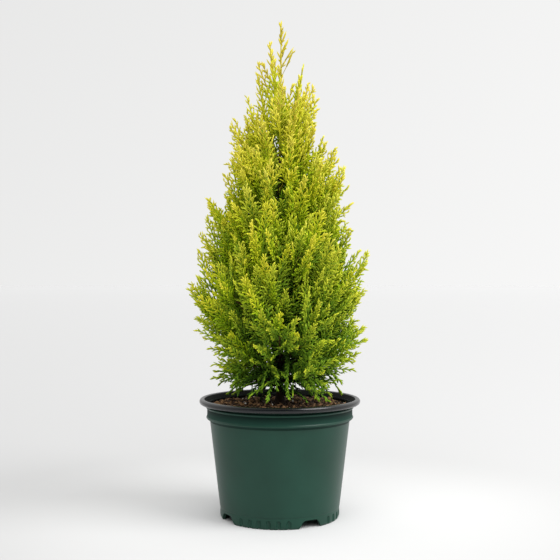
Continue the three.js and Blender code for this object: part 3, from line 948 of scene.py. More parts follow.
def sprig(size, slim, dice):
    """A sprig: a shoot with shorter shoots left and right of it, fewer on a slim one."""
    rule = SLIM_SPRIG if slim else FULL_SPRIG
    made = bmesh.new()
    shoot(made, Matrix.Rotation(math.pi / 4, 4, "X"), size, SHOOT_GIRTH, 4, rule["fullness"])
    shoots = max(0, round(size / SHOOT_STEP - rule["fewer"]))
    for n in range(shoots):
        share = mix(*SHOOT_SHARES, n / max(1, shoots - 1))
        length = clamp(rule["share"] * size, *rule["limits"]) * mix(*SHOOT_TAPER, share)
        length *= dice.uniform(0.88, 1.12)
        sign = 1 if n % 2 else -1
        place = (Matrix.Translation((share * size, 0, 0))
                 @ Matrix.Rotation(sign * dice.uniform(*rule["spread"]), 4, "Z")
                 @ Matrix.Rotation(dice.uniform(-SHOOT_OFF_PLANE, SHOOT_OFF_PLANE), 4, "Y"))
        shoot(made, place, length, SHOOT_GIRTH * dice.uniform(0.9, 1.05), 3)
    curl, twist = dice.uniform(0.02, 0.12), dice.uniform(-0.06, 0.06)
    for vert in made.verts:
        run = vert.co.x / size
        vert.co.y += curl * size * run * abs(run)
        vert.co.z += twist * size * run * abs(run)
    return Stamp(made)


def grow_sprigs():
    dice = random.Random(SEED)
    return [[sprig(size, kind >= SPRIG_KINDS, dice) for kind in range(2 * SPRIG_KINDS)]
            for size in SPRIG_SIZES]


SPRIGS = grow_sprigs()


class Foliage:
    """Some fronds that make one piece: their ribs and the sprigs on them."""

    def __init__(self, seed):
        self.dice = random.Random(seed)
        self.ribs, self.sprigs = [], []

    def frond(self, root, direction, across, length, lift, shade=0.0, *rule):
        """A flat frond on a rib that curls."""
        flat = flattened(across, direction)
        sideways = self.dice.uniform(-FROND_CURL, FROND_CURL) * length
        line = Bend(root, root + direction * (0.55 * length),
                    root + direction * (0.97 * length) + UP * (lift * length) + flat * sideways)
        self.feather(line, flat, length, shade, *rule)

    def feather(self, line, flat, length, shade, sprig_share=SPRIG_SHARE, spacing=SPRIG_SPACING):
        """Sprigs left and right of a line in turn, shorter towards its tip."""
        dice = self.dice
        if self.hides_trunk(line.at(0.5)):
            return
        fresh = dice.random()
        aloft = share_between(line.b[2], *ALOFT_Z)
        low = share_between(line.b[2], *LOW_Z)
        shade += FROND_CONTRAST * aloft * dice.uniform(-1, 1)
        girth = mix(*RIB_GIRTHS, share_between(length, 0, LONGEST_RIB))
        self.ribs.append((line, girth * np.interp(line.b[2], *RIB_GIRTH_AT), shade, fresh))
        count = max(3, round(length / (spacing * mix(1, ALOFT_SPACING, aloft))))
        first_side = dice.choice((-1, 1))
        for n in range(count):
            share = clamp((n + 0.4 + dice.uniform(-0.2, 0.2)) / (count + 0.2), 0.02, 0.97)
            heading = line.heading(share)
            face = flattened(flat, heading)
            side = first_side * (1 if n % 2 else -1)
            tilt = dice.uniform(-SPRIG_TILT, SPRIG_TILT) * mix(1, ALOFT_TILT, aloft)
            aside = side * face * math.cos(tilt) + np.cross(heading, face) * math.sin(tilt)
            angle = dice.uniform(*SPRIG_ANGLE) * mix(*SPRIG_ANGLE_CHANGE, share)
            angle *= mix(1, ALOFT_ANGLE, aloft)
            run = heading * math.cos(angle) + aside * math.sin(angle)
            size = length * sprig_share * mix(*SPRIG_TAPER, share) * dice.uniform(0.85, 1.15)
            size *= mix(1, LOW_SPRIG, low) * mix(1, ALOFT_SPRIG, aloft)
            if share < 0.08:
                size *= 0.7
            self.add_sprig(line.at(share), run, flattened(heading, run), size, share, shade,
                           fresh)
        end = line.heading(1.0)
        tip = max(LEAST_TIP_SPRIG, TIP_SPRIG_SHARE * length)
        self.add_sprig(line.at(1) - end * (0.7 * tip), end, flattened(flat, end), tip, 1.0,
                       shade, fresh)

    def hang(self, line, most_roll, shade, *rule):
        """A frond along a given line, facing out of the crown."""
        across = facing_out(line.a, line.heading(0.5), self.dice, most_roll)
        self.feather(line, across, line.length(), shade, *rule)

    def add_sprig(self, root, run, forward, size, share, shade, fresh):
        size = clamp(size, LEAST_SPRIG * np.interp(root[2], *LEAST_SPRIG_AT), MOST_SPRIG)
        if not self.hides_trunk(root + run * (0.5 * size)):
            self.sprigs.append((root, run, forward, size, share, shade, fresh))

    def hides_trunk(self, point):
        """Whether a point stands before one of the stretches of the trunk that show."""
        if point[1] > 0 or not any(low < point[2] < high for low, high in WINDOWS):
            return False
        aside = abs(point[0] - trunk_point(point[2])[0])
        return aside < WINDOW_HALF_WIDTH and self.dice.random() < WINDOW_SHARE

    def press_ribs(self, heap):
        middle = np.array([line.at(0.5) for line, *_ in self.ribs])
        shade, fresh = np.array([each[2:] for each in self.ribs]).T
        shade = shade + np.interp(middle[:, 2], *RIB_SHADE_AT)
        slots = tone_at(middle, 0 * shade, shade, fresh, self.dice)
        for (line, girth, *_), slot in zip(self.ribs, slots):
            press_tube(heap, RIB, line, lambda run: girth * (1 - 0.45 * run), slot)

    def press_sprigs(self, heap):
        root, run, forward = (np.array([each[n] for each in self.sprigs]) for n in range(3))
        size, share, shade, fresh = np.array([each[3:] for each in self.sprigs]).T
        slots = tone_at(root + run * (0.6 * size[:, None]), share, shade, fresh, self.dice)
        z = root[:, 2]
        slim = share_between(z, *SLIM_Z) > np.array([self.dice.random() for _ in z])
        kind = np.array([self.dice.randrange(SPRIG_KINDS) for _ in z]) + SPRIG_KINDS * slim
        nearest = np.abs(np.log(size[:, None] / np.array(SPRIG_SIZES))).argmin(1)
        tipped = (z >= LOW_PLAIN_TIPS_Z) & (z <= PLAIN_TIPS_Z)
        axes = np.stack([run, forward, np.cross(run, forward)], 1)
        family, tone = np.divmod(slots, TINTS)
        for n, whole in enumerate(SPRIG_SIZES):
            for k, stamp in enumerate(SPRIGS[n]):
                chosen = (nearest == n) & (kind == k)
                if not chosen.any():
                    continue
                scale = (size[chosen] / whole)[:, None, None]
                points = root[chosen][:, None] + scale * (stamp.points @ axes[chosen])
                lit = tone[chosen, None] + stamp.tones * tipped[chosen, None]
                heap.press(stamp, points, family[chosen, None] * TINTS + lit.clip(0, TINTS - 1))

    def piece(self, name, finishes, slot, nodes=()):
        heap = Heap()
        self.press_ribs(heap)
        self.press_sprigs(heap)
        heap.piece(name, finishes, slot, nodes)


def tone_at(points, share, shade, fresh, dice):
    """The finish slot at each point: its family first, then its lightness."""
    x, y, z = points.T
    height = share_between(z, TONE_FOOT_Z, TONE_FOOT_Z + TONE_SPAN)
    reach = np.maximum(crown_radius(z, np.arctan2(y, x)), 1)
    depth = np.clip(1 - np.hypot(x, y) / reach, 0, 1)
    scatter = np.interp(z, *SCATTER_AT) * np.array([dice.uniform(-1, 1) for _ in z])
    # Deeper in the crown the tone falls, as painted shade; towards a frond's tip it rises.
    tone = (MIDDLE_TONE + np.interp(z, *TONE_AT) + np.interp(z, *OUTWARD_AT) * share
            - np.interp(height, *PAINTED_INNER_SHADE_AT) * depth - shade + scatter)
    fresh_share = 1.15 - 1.6 * height + 0.25 * depth + 0.3 * x / reach
    family = np.where(share_between(z, *OCHRE_Z) > fresh, 2, (fresh < fresh_share).astype(int))
    return family * TINTS + np.clip(np.round(tone), 0, TINTS - 1).astype(int)


def side_fronds(foliage, line, start, end, spacing, wanted, angle, first_roll, shade=0.0):
    """Fronds up a stem, twig or bough, turned round it by the golden angle."""
    dice = foliage.dice
    aloft = share_between(line.c[2], *SIDE_ALOFT_Z)
    spacing *= mix(1.08, 2.1, aloft) * np.interp(line.c[2], *SIDE_SPACING_AT)
    count = int(line.length() * (end - start) / spacing)
    for n in range(count):
        share = mix(start, end, (n + 0.5) / count)
        lean = angle * dice.uniform(0.85, 1.2) * mix(1, 0.7, aloft)
        direction = leaned(line.heading(share), lean, first_roll + n * GOLDEN_ANGLE)
        length = wanted * dice.uniform(0.75, 1.2) * mix(1, 1.25, aloft)
        fitted_frond(foliage, line.at(share), direction, length, shade)


def crown_axes(root, direction):
    """Out from the trunk, and across a direction: round the trunk, then in a plane through it."""
    outward = flattened(root + direction * 40 - trunk_point(root[2]), UP)
    tangent = flattened(np.cross(UP, outward), direction)
    return outward, tangent, np.cross(tangent, direction)


def off_edge(root, direction, across):
    """Rolls a frond that would stand edge-on against the sky."""
    _, tangent, radial = crown_axes(root, direction)
    along = across @ tangent
    if abs(along) < EDGE_ON:
        return across
    return rotated(across, direction, math.copysign(EDGE_ROLL, -along * (across @ radial)))


def facing_out(root, direction, dice, most=0.7):
    """Across a frond that lies in a plane through the trunk, or flat round it, but for a roll."""
    outward, tangent, radial = crown_axes(root, direction)
    sidewards = abs(outward[0])
    across = radial if dice.random() < RADIAL_SHARE * sidewards else tangent
    most *= np.interp(root[2], *ROLL_AT)
    roll = dice.uniform(-most, most)
    if across is tangent:
        roll += math.copysign(0.5 * sidewards, roll)
    return rotated(across, direction, roll)


def fitted_frond(foliage, root, direction, length, shade):
    """A frond shortened until it fits the crown, with some left out near the tip."""
    dice = foliage.dice
    climb = share_between(root[2], *CLIMB_Z)
    lifted = unit(direction + UP * dice.uniform(0.3 * climb, mix(0.1, 1.1, climb)))
    across = facing_out(root, lifted, dice)
    lift = np.interp(root[2], *LIFT_AT)
    for _ in range(FROND_TRIES):
        tip = root + lifted * length + UP * (lift * length)
        middle = root + lifted * (0.6 * length)
        if in_crown(np.array([tip, middle]), 4).all():
            if dice.random() > np.interp(tip[2], *SKIPPED_AT):
                foliage.frond(root, lifted, across, length, lift, shade)
            return
        length *= 0.86


def dress(mass, foliage):
    """The fronds of one mass: the main ones of its twigs, then finer ones between them."""
    if mass.own == BOUGHS:
        dress_leader(mass, foliage)
        return
    thin = share_between(mass.line.c[2], *THIN_Z)
    for root, direction, across, length in mass.fronds:
        foliage.frond(root - direction * 2, direction, off_edge(root, direction, across), length,
                      np.interp(root[2], *LIFT_AT), 0, SPRIG_SHARE * mix(1, 0.96, thin))
    size = clamp(mass.line.length() / LONGEST_LINE, 0.25, 1)
    for n, (line, _) in enumerate(mass.twigs):
        side_fronds(foliage, line, 0.3, 1.0, 15 * mix(1, 2, thin), mix(24, 50, size), 0.7,
                    n * 2.1, 0.3)
    side_fronds(foliage, mass.stem, 0.0, 1.0, mix(14, 11, size), mix(26, 60, size), 0.62,
                mass.own, 0.4)


def dress_leader(mass, foliage):
    foliage.feather(LEADER_LINE, X_AXIS, LEADER_LINE.length(), -0.3, 0.23, 11)
    for root, direction, _, length in mass.fronds:
        forward = flattened(UP + 0.01 * X_AXIS, direction)
        foliage.add_sprig(root - direction * 6, direction, forward, length + 6, 0.5, 0, 0.5)


def fine_limb(index):
    """A fine limb between the boughs: the boughs' own rule, with a shorter reach."""
    dice = random.Random(SEED + 53 * index + 7)
    heights = np.linspace(LOWEST_TIP_Z, FINE_TOP_Z, 200)
    wanted = np.cumsum(crown_radius(heights, 0) * np.interp(heights, *FINE_LIMBS_AT))
    tip_z = float(np.interp((index + 0.5) / FINE_LIMBS * wanted[-1], wanted, heights))
    azimuth = 1.9 + index * GOLDEN_ANGLE + dice.uniform(-0.2, 0.2)
    reach = float(crown_radius(tip_z, azimuth)) * dice.uniform(*FINE_REACH)
    share = 1 - (1 - (tip_z - LOWEST_TIP_Z) / TIP_SPAN) ** (1 / HEIGHT_POWER)
    rise = bough_rise(share) * dice.uniform(0.9, 1.25)
    start_z = min(tip_z - rise, TRUNK_TOP_Z - 6)
    return swept_line(trunk_point(start_z), reach, azimuth, rise, tip_z)


FINE_LINES = [fine_limb(index) for index in range(FINE_LIMBS)]


def dress_fine_limb(line, index, foliage):
    plume = line.stretch(0.3, 1)
    across = facing_out(plume.a, plume.heading(0), foliage.dice)
    thin = share_between(line.c[2], *THIN_Z)
    foliage.feather(plume, across, plume.length(), 0, PLUME_SPRIG_SHARE * mix(1, 0.9, thin))
    size = clamp(math.hypot(*line.c[:2]) / 140, 0, 1)
    if size > 0.3:
        side_fronds(foliage, line, 0.15, 0.7, 17, mix(45, 92, size), 0.5, index * 1.3, 0.2)


def skirt(foliage):
    """Low fronds that hang over the potting mix."""
    dice = foliage.dice
    for n in range(SKIRT_FRONDS):
        root = trunk_point(mix(*SKIRT_Z, n / (SKIRT_FRONDS - 1)))
        direction = leaned(UP, dice.uniform(0.95, 1.35), 0.6 + n * GOLDEN_ANGLE)
        across = facing_out(root, direction, dice, 1.0)
        length = dice.uniform(*SKIRT_LENGTH)
        lift = dice.uniform(-0.42, -0.24)
        for _ in range(FROND_TRIES):
            tip = root + direction * length + UP * (lift * length)
            if in_crown(tip, 4).all() and tip[2] > SOIL_Z + SOIL_MOUND + 4:
                foliage.frond(root, direction, across, length, lift, 0.5, 0.25, 4.8)
                break
            length *= 0.9


def fringe(foliage):
    """Branchlets that hang from the lowest limbs over the potting mix and the rim."""
    dice = foliage.dice
    low = [line for line in [*BOUGH_LINES, *FINE_LINES] if line.c[2] < FRINGED_TO_Z]
    hung = 0
    for n in range(20 * FRINGE):
        root = low[n % len(low)].at(dice.uniform(0.04, 0.42))
        azimuth = math.atan2(root[1], root[0]) + dice.uniform(-0.5, 0.5)
        out = math.hypot(root[0], root[1])
        reach = min(out + dice.uniform(*FRINGE_REACH), FURTHEST_FRINGE)
        foot_z = dice.uniform(*FRINGE_FOOT) + max(0, reach - 92) * 0.8
        fall = root[2] - foot_z
        if fall < 12 or fall > 1.25 * (reach - out):
            continue
        bend = turned(mix(out, reach, 0.55), azimuth, mix(root[2], foot_z, 0.12))
        line = Bend(root, bend, turned(reach, azimuth, foot_z))
        foliage.hang(line, 0.8, 0.8, FRINGE_SHARE, FRINGE_SPACING)
        hung += 1
        if hung == FRINGE:
            return


def foot_fronds(foliage):
    """Fronds round the foot of the trunk, in dark tints as painted shade."""
    dice = foliage.dice
    for n in range(FOOT_FRONDS):
        root = trunk_point(dice.uniform(*FOOT_FROND_Z))
        azimuth = n * GOLDEN_ANGLE
        reach = dice.uniform(*FOOT_FROND_REACH)
        end = root + turned(reach, azimuth, dice.uniform(-12, 6))
        end[2] = max(end[2], SOIL_Z + SOIL_MOUND + 3)
        line = Bend(root, root + turned(0.6 * reach, azimuth, 10), end)
        # The tone offset of 2.6 paints the shade of the hollow under the crown.
        foliage.hang(line, 1.0, 2.6, 0.36, FRINGE_SPACING)


def trunk_fronds(foliage):
    """Short fronds straight off the trunk, fewer where it shows."""
    z, n = TRUNK_FROND_Z, 0
    while z < TRUNK_TOP_Z - 20:
        steep = share_between(z, *STEEP_Z)
        lean = foliage.dice.uniform(0.7, 1.05) * mix(1, 0.4, steep)
        length = clamp(0.45 * float(crown_radius(z, 0)), 24, 52)
        fitted_frond(foliage, trunk_point(z), leaned(UP, lean, n * GOLDEN_ANGLE), length,
                     mix(0.8, 0, steep))
        z += mix(9, 6, share_between(z, TRUNK_FROND_Z, TRUNK_FROND_Z + 300)) * mix(1, 2, steep)
        n += 1


# Trunk, boughs and twigs

def press_tube(heap, stamp, line, radius_at, slot):
    heap.press(stamp, bent(stamp, line, radius_at)[None], int(slot))


def press_stems(heap):
    """The thin stems and twigs, young and green aloft."""
    for line in FINE_LINES:
        stem = line.stretch(0, STEM_SHARE)
        press_tube(heap, STEM_TUBE, stem, lambda run: mix(1.5, 0.8, run), line.c[2] > GREEN_STEM_Z)
    for mass in MASSES:
        if mass.own != BOUGHS:
            press_tube(heap, STEM_TUBE, mass.stem, mass.stem_radius, mass.line.c[2] > GREEN_STEM_Z)
        for line, radius in mass.twigs:
            press_tube(heap, TWIG_TUBE, line, lambda run: mix(radius, TWIG_END_RADIUS, run),
                       line.c[2] > GREEN_STEM_Z - 120)


def press_boughs(heap):
    for line in BOUGH_LINES:
        root_radius = bough_root_radius(line.a[2])
        end_radius = root_radius * BOUGH_END_SHARE / BOUGH_ROOT_SHARE
        part = line.stretch(-0.02, BOUGH_SHARE + 0.01)
        points = bent(BOUGH_TUBE, part, lambda run: mix(root_radius, end_radius, run)
                      * (1 + 0.5 * np.exp(-run / 0.06)))
        for point in points:
            lump = noise.noise(Vector(point) * 0.35) + 0.5 * noise.noise(Vector(point) * 1.1)
            point += unit(point - part.at(0.5)) * (0.16 * lump)
        heap.press(BOUGH_TUBE, points[None], 0)


def press_trunk(heap):
    points = TRUNK_TUBE.points.copy()
    for point in points:
        z = mix(TRUNK_FOOT_Z - 4, TRUNK_TOP_Z, point[2])
        angle = math.atan2(point[1], point[0])
        fissure = noise.noise(Vector(turned(2.2, angle, z * 0.045)))
        fibre = noise.noise(Vector(turned(6, angle, z * 0.16 + 40)))
        radius = trunk_radius(z) * math.hypot(point[0], point[1])
        radius *= 1 + 0.09 * fissure + 0.05 * fibre
        point[:] = trunk_point(z) + turned(radius, angle, 0)
    first = TRUNK_TUBE.corners[np.cumsum(TRUNK_TUBE.sides) - TRUNK_TUBE.sides]
    heap.press(TRUNK_TUBE, points[None], (points[first, 2] > GREEN_STEM_Z).astype(int))


# Pot

def turned_solid(profile, sides, closed=True):
    """A wall turned round the Z axis from corners of radius, height and rounding."""
    made = bmesh.new()
    verts = [made.verts.new((radius, 0, height)) for radius, height, _ in profile]
    pairs = list(zip(verts, verts[1:]))
    if closed:
        pairs.append((verts[-1], verts[0]))
    for pair in pairs:
        made.edges.new(pair)
    for vert, (_, _, rounding) in zip(verts, profile):
        if rounding:
            round_off(made, [vert], rounding, 4)
    bmesh.ops.spin(made, geom=everything(made), cent=(0, 0, 0), axis=(0, 0, 1),
                   angle=2 * math.pi, steps=sides, use_merge=True)
    bmesh.ops.remove_doubles(made, verts=made.verts, dist=1e-4)
    bmesh.ops.recalc_face_normals(made, faces=made.faces)
    return made


def finished_mesh(made, name, material, sharp=40):
    """A mesh in metres from a shape in millimetres, soft but for its sharper edges."""
    bmesh.ops.scale(made, verts=made.verts, vec=(MM, MM, MM))
    mesh = bpy.data.meshes.new(name)
    made.to_mesh(mesh)
    made.free()
    mesh.materials.append(material)
    mesh.shade_smooth()
    mesh.set_sharp_from_angle(angle=math.radians(sharp))
    return mesh


def wall_radius_at(z):
    return mix(WALL_FOOT_RADIUS, WALL_TOP_RADIUS,
               (z - SKIRT_TOP_Z) / (WALL_TOP_Z - SKIRT_TOP_Z))


def pot_shell():
    """The pot's wall, collar, skirt and floor: radius, height and rounding of each corner."""
    neck_top = RIM_TOP - ROLL_HEIGHT + 2.2
    floor_top = FLOOR_Z + FLOOR_THICKNESS
    return turned_solid([
        (0, FLOOR_Z, 0),
        (FOOT_RADIUS - SKIRT_THICKNESS, FLOOR_Z, 0),
        (FOOT_RADIUS - SKIRT_THICKNESS, 0, 0.5),
        (FOOT_RADIUS + 0.4, 0, 1.0),
        (SKIRT_RADIUS, 4, 1.2),
        (SKIRT_RADIUS, SKIRT_TOP_Z - 0.6, 0.3),
        (WALL_FOOT_RADIUS, SKIRT_TOP_Z, 0.25),
        (WALL_TOP_RADIUS, WALL_TOP_Z, 1.4),
        (COLLAR_FOOT_RADIUS + 1.0, COLLAR_FOOT_Z - 1.2, 0.6),
        (COLLAR_FOOT_RADIUS + 2.3, COLLAR_FOOT_Z + 0.8, 0.8),
        (COLLAR_FOOT_RADIUS + 0.8, COLLAR_FOOT_Z + 3.0, 0.8),
        (COLLAR_TOP_RADIUS - 1.2, COLLAR_TOP_Z - 0.4, 0.9),
        (COLLAR_TOP_RADIUS + 0.9, COLLAR_TOP_Z + 1.4, 0.6),
        (COLLAR_TOP_RADIUS + 0.9, COLLAR_TOP_Z + 3.0, 0.7),
        (NECK_RADIUS, COLLAR_TOP_Z + 4.2, 0.6),
        (NECK_RADIUS, neck_top, 0),
        (NECK_RADIUS - WALL_THICKNESS, neck_top, 0),
        (NECK_RADIUS - WALL_THICKNESS, LINING_FOOT_Z, 0.8),
        (WALL_TOP_RADIUS - WALL_THICKNESS, WALL_TOP_Z, 0.8),
        (wall_radius_at(floor_top) - WALL_THICKNESS - 1, floor_top, 1.5),
        (0, floor_top, 0),
    ], POT_SIDES, closed=False)


def flute_cutter(made, angle):
    ball = bmesh.ops.create_uvsphere(made, u_segments=24, v_segments=12, radius=FLUTE_WIDTH / 2)
    for vert in ball["verts"]:
        if vert.co.z < 0:
            vert.co.z -= FLUTE_HEIGHT
    at = turned(SKIRT_RADIUS + FLUTE_WIDTH / 2 - FLUTE_DEPTH, angle,
                FLUTE_HEIGHT - FLUTE_WIDTH / 2)
    bmesh.ops.translate(made, verts=ball["verts"], vec=at)


def drill(made, sides, radius, depth, lay):
    cone = bmesh.ops.create_cone(made, cap_ends=True, segments=sides, radius1=radius,
                                 radius2=radius, depth=depth)
    bmesh.ops.transform(made, matrix=lay, verts=cone["verts"])


def scallop_cutter(made, angle):
    """Lifts the skirt's lower edge under a flute."""
    lay = Matrix.Rotation(angle, 4, "Z") @ Matrix.Rotation(math.pi / 2, 4, "Y")
    lay.translation = turned(FOOT_RADIUS, angle, SCALLOP_RISE - FLUTE_WIDTH / 3)
    drill(made, 24, FLUTE_WIDTH / 3, 3 * SKIRT_THICKNESS, lay)


def notch_cutter(made, angle):
    before = set(made.verts)
    inner = SKIRT_RADIUS - 2 * SKIRT_THICKNESS - 12
    corners = [(-NOTCH_FOOT_WIDTH / 2, -2), (NOTCH_FOOT_WIDTH / 2, -2),
               (NOTCH_TOP_WIDTH / 2, NOTCH_HEIGHT), (-NOTCH_TOP_WIDTH / 2, NOTCH_HEIGHT)]
    verts = [made.verts.new((inner, across, height)) for across, height in corners]
    made.faces.new(verts)
    round_off(made, verts[2:], NOTCH_ROUNDING, 6)
    face = [face for face in made.faces if not before & set(face.verts)]
    pulled = bmesh.ops.extrude_face_region(made, geom=face, use_keep_orig=True)
    bmesh.ops.translate(made, verts=verts_in(pulled["geom"]), vec=(40, 0, 0))
    new = [vert for vert in made.verts if vert not in before]
    bmesh.ops.rotate(made, verts=new, cent=(0, 0, 0), matrix=Matrix.Rotation(angle, 3, "Z"))
    faces = {face for vert in new for face in vert.link_faces}
    bmesh.ops.recalc_face_normals(made, faces=list(faces))


def drain_hole_cutter(made, angle):
    at = turned(DRAIN_HOLE_AT, angle, FLOOR_Z + FLOOR_THICKNESS / 2)
    drill(made, 32, DRAIN_HOLE_RADIUS, 4 * FLOOR_THICKNESS, Matrix.Translation(at))


def pot_cutters():
    made = bmesh.new()
    for n in range(NOTCHES):
        middle = FIRST_NOTCH + 2 * math.pi / NOTCHES * n
        notch_cutter(made, middle)
        drain_hole_cutter(made, middle)
        for f in range(FLUTES_BETWEEN_NOTCHES):
            step = (f - (FLUTES_BETWEEN_NOTCHES - 1) / 2) * FLUTE_STEP
            for cutter in (flute_cutter, scallop_cutter):
                cutter(made, middle + math.pi / NOTCHES + step)
    return made


def cut_away(mesh, cutter_mesh):
    """The mesh with the cutter's solids taken out of it."""
    whole, cutter = placed("uncut", mesh), placed("cutter", cutter_mesh)
    cut = whole.modifiers.new("cut", "BOOLEAN")
    cut.operation, cut.solver, cut.object, cut.use_self = "DIFFERENCE", "EXACT", cutter, True
    depsgraph = bpy.context.evaluated_depsgraph_get()
    result = bpy.data.meshes.new_from_object(whole.evaluated_get(depsgraph))
    for each in (whole, cutter):
        bpy.data.objects.remove(each)
    return result


def wall_and_collar():
    green = plastic("green_pot_plastic", [(25, 65, 52), (20, 56, 44), (25, 65, 52)], 0.4, 0.28,
                    14, 0.34, 0.1, 1400, 0.12)
    shell = finished_mesh(pot_shell(), "pot_shell", green)
    wall = cut_away(shell, finished_mesh(pot_cutters(), "cutters", green))
    wall.set_sharp_from_angle(angle=math.radians(35))
    wall.materials.append(green_with_painted_rim_shade())
    # Faces on the collar and under its foot take the finish with painted shade.
    for face in wall.polygons:
        out, z = math.hypot(face.center.x, face.center.y) / MM, face.center.z / MM
        on_collar = out > COLLAR_FOOT_RADIUS and COLLAR_FOOT_Z + 2.6 < z < COLLAR_TOP_Z
        under_collar = out > WALL_TOP_RADIUS - 0.6 and WALL_TOP_Z - 1 < z < COLLAR_FOOT_Z - 0.6
        if on_collar or under_collar:
            face.material_index = 1
    keep("green_pot", wall, "pot_green", ["pot_body"])


def roll_and_lining():
    black = plastic("black_rim_plastic", [(14, 16, 18), (8, 10, 12), (13, 16, 18)], 0.2, 0.47,
                    22, 0.15, 0.09, 1100, 0.1)
    lining_outer = NECK_RADIUS - WALL_THICKNESS - CLEAR
    lining_inner = lining_outer - 1.2
    foot = RIM_TOP - ROLL_HEIGHT
    bead = [(RIM_RADIUS - ROLL_HALF_WIDTH * (1 - math.cos(angle)),
             RIM_TOP - ROLL_HALF_HEIGHT * (1 - math.sin(angle)), 0)
            for angle in np.radians(np.linspace(-100, 131, 25))]
    roll = turned_solid([
        (lining_outer, LINING_FOOT_Z, 0.2),
        (lining_outer, foot + 1.2, 0),
        *bead,
        (lining_inner + 0.5, RIM_TOP - 7.8, 0.5),
        (lining_inner, RIM_TOP - 8.4, 0.3),
        (lining_inner, LINING_FOOT_Z, 0.2),
    ], POT_SIDES)
    mesh = finished_mesh(roll, "roll", black)
    mesh.materials.append(black_lining())
    for face in mesh.polygons:
        inwards = face.normal.x * face.center.x + face.normal.y * face.center.y < 0
        if inwards and math.hypot(face.center.x, face.center.y) < LINING_EDGE * MM:
            face.material_index = 1
    keep("black_roll_and_lining", mesh, "pot_black", ["pot_rim"])


# Potting mix

def soil_height(x, y):
    """The lie of the potting mix: a low mound with hollows and lumps."""
    out = math.hypot(x, y) / SOIL_EDGE
    at = Vector((x, y, 0))
    lumps = (1.5 * noise.noise(at * 0.035 + Vector((7, 3, 0)))
             + 0.9 * noise.noise(at * 0.11) + 0.5 * noise.noise(at * 0.4))
    return SOIL_Z + SOIL_MOUND * (1 - out) + lumps


def soil_bed():
    foot = FLOOR_Z + FLOOR_THICKNESS + CLEAR
    gap = WALL_THICKNESS + 2 * CLEAR
    made = turned_solid([
        (0, foot, 0),
        (wall_radius_at(foot) - gap - 1, foot, 0),
        (WALL_TOP_RADIUS - gap, WALL_TOP_Z, 0),
        (SOIL_EDGE, LINING_FOOT_Z + 1, 0),
        *((SOIL_EDGE * (1 - n / SOIL_RINGS), SOIL_Z, 0) for n in range(SOIL_RINGS + 1)),
    ], SOIL_SIDES, closed=False)
    for vert in made.verts:
        if vert.co.z > SOIL_Z - 1:
            vert.co.z = soil_height(vert.co.x, vert.co.y)
    return finished_mesh(made, "soil_bed", mix_finish(), 80)


def rough_lump(dice, shape, unevenness=0.25):
    """A crumb, chip or grain one millimetre across, knocked out of round."""
    made = bmesh.new()
    bmesh.ops.create_icosphere(made, subdivisions=1, radius=0.5)
    for vert in made.verts:
        vert.co *= 1 + dice.uniform(-unevenness, unevenness)
    bmesh.ops.scale(made, verts=made.verts, vec=shape)
    return Stamp(made)


def strewn(heap, dice, stamps, count, sizes, slot, sink, tilt):
    """Strews copies of the stamps over the mix, half sunk into it."""
    for _ in range(count):
        stamp = dice.choice(stamps)
        radius = mix(CLEAR_OF_TRUNK, SOIL_EDGE - 3, math.sqrt(dice.random()))
        azimuth = dice.uniform(0, 2 * math.pi)
        size = dice.uniform(*sizes)
        x, y = radius * math.cos(azimuth), radius * math.sin(azimuth)
        at = np.array([x, y, soil_height(x, y) + sink * size])
        turn = (Matrix.Rotation(dice.uniform(0, 2 * math.pi), 3, "Z")
                @ Matrix.Rotation(dice.gauss(0, tilt), 3, "X")
                @ Matrix.Rotation(dice.gauss(0, tilt), 3, "Y"))
        points = at + size * (stamp.points @ np.array(turn).T)
        heap.press(stamp, points[None], slot)


def soil():
    dice = random.Random(SEED + 5)
    keep("potting_mix_bed", soil_bed(), "potting_mix", ["potting_mix"])
    finishes = [
        grainy("bark_chip_dark", paint(38, 27, 20), paint(74, 54, 39), 420),
        grainy("bark_chip_tan", paint(98, 72, 49), paint(152, 117, 83), 420),
        grainy("fibre_tan", paint(118, 92, 62), paint(168, 138, 98), 600),
        grainy("crumb_black", paint(20, 14, 11), paint(40, 28, 21), 600),
        grainy("perlite", paint(206, 202, 194), paint(240, 238, 232), 900, 0.8, 0.3),
    ]
    chips = [rough_lump(dice, shape) for shape in ((1, 0.5, 0.3), (1, 0.36, 0.24), (1, 0.7, 0.34))]
    crumbs = [rough_lump(dice, (1, 0.85, 0.7), 0.3) for _ in range(4)]
    fibres = [rough_lump(dice, (1, 0.07, 0.05), 0.15) for _ in range(2)]
    grains = [rough_lump(dice, (1, 0.92, 0.86), 0.16) for _ in range(4)]
    heap = Heap()
    # Lumps, their number, sizes, finish, sink and tilt.
    for stuff in [
        (crumbs, 1500, (1.4, 3.6), 3, 0.1, 1.0),
        (crumbs, 900, (1.2, 3.4), 0, 0.15, 1.0),
        (chips, 460, (4, 11), 0, 0.1, 0.35),
        (chips, 330, (4, 12), 1, 0.14, 0.45),
        (fibres, 220, (8, 20), 2, 0.03, 0.18),
        (grains, 30, (1.4, 2.6), 4, 0.2, 1.0),
        (grains, 9, (3.2, 5), 4, 0.3, 1.0),
    ]:
        strewn(heap, dice, *stuff)
    heap.piece("bark_chips_and_perlite", finishes, "potting_mix")


# Plant

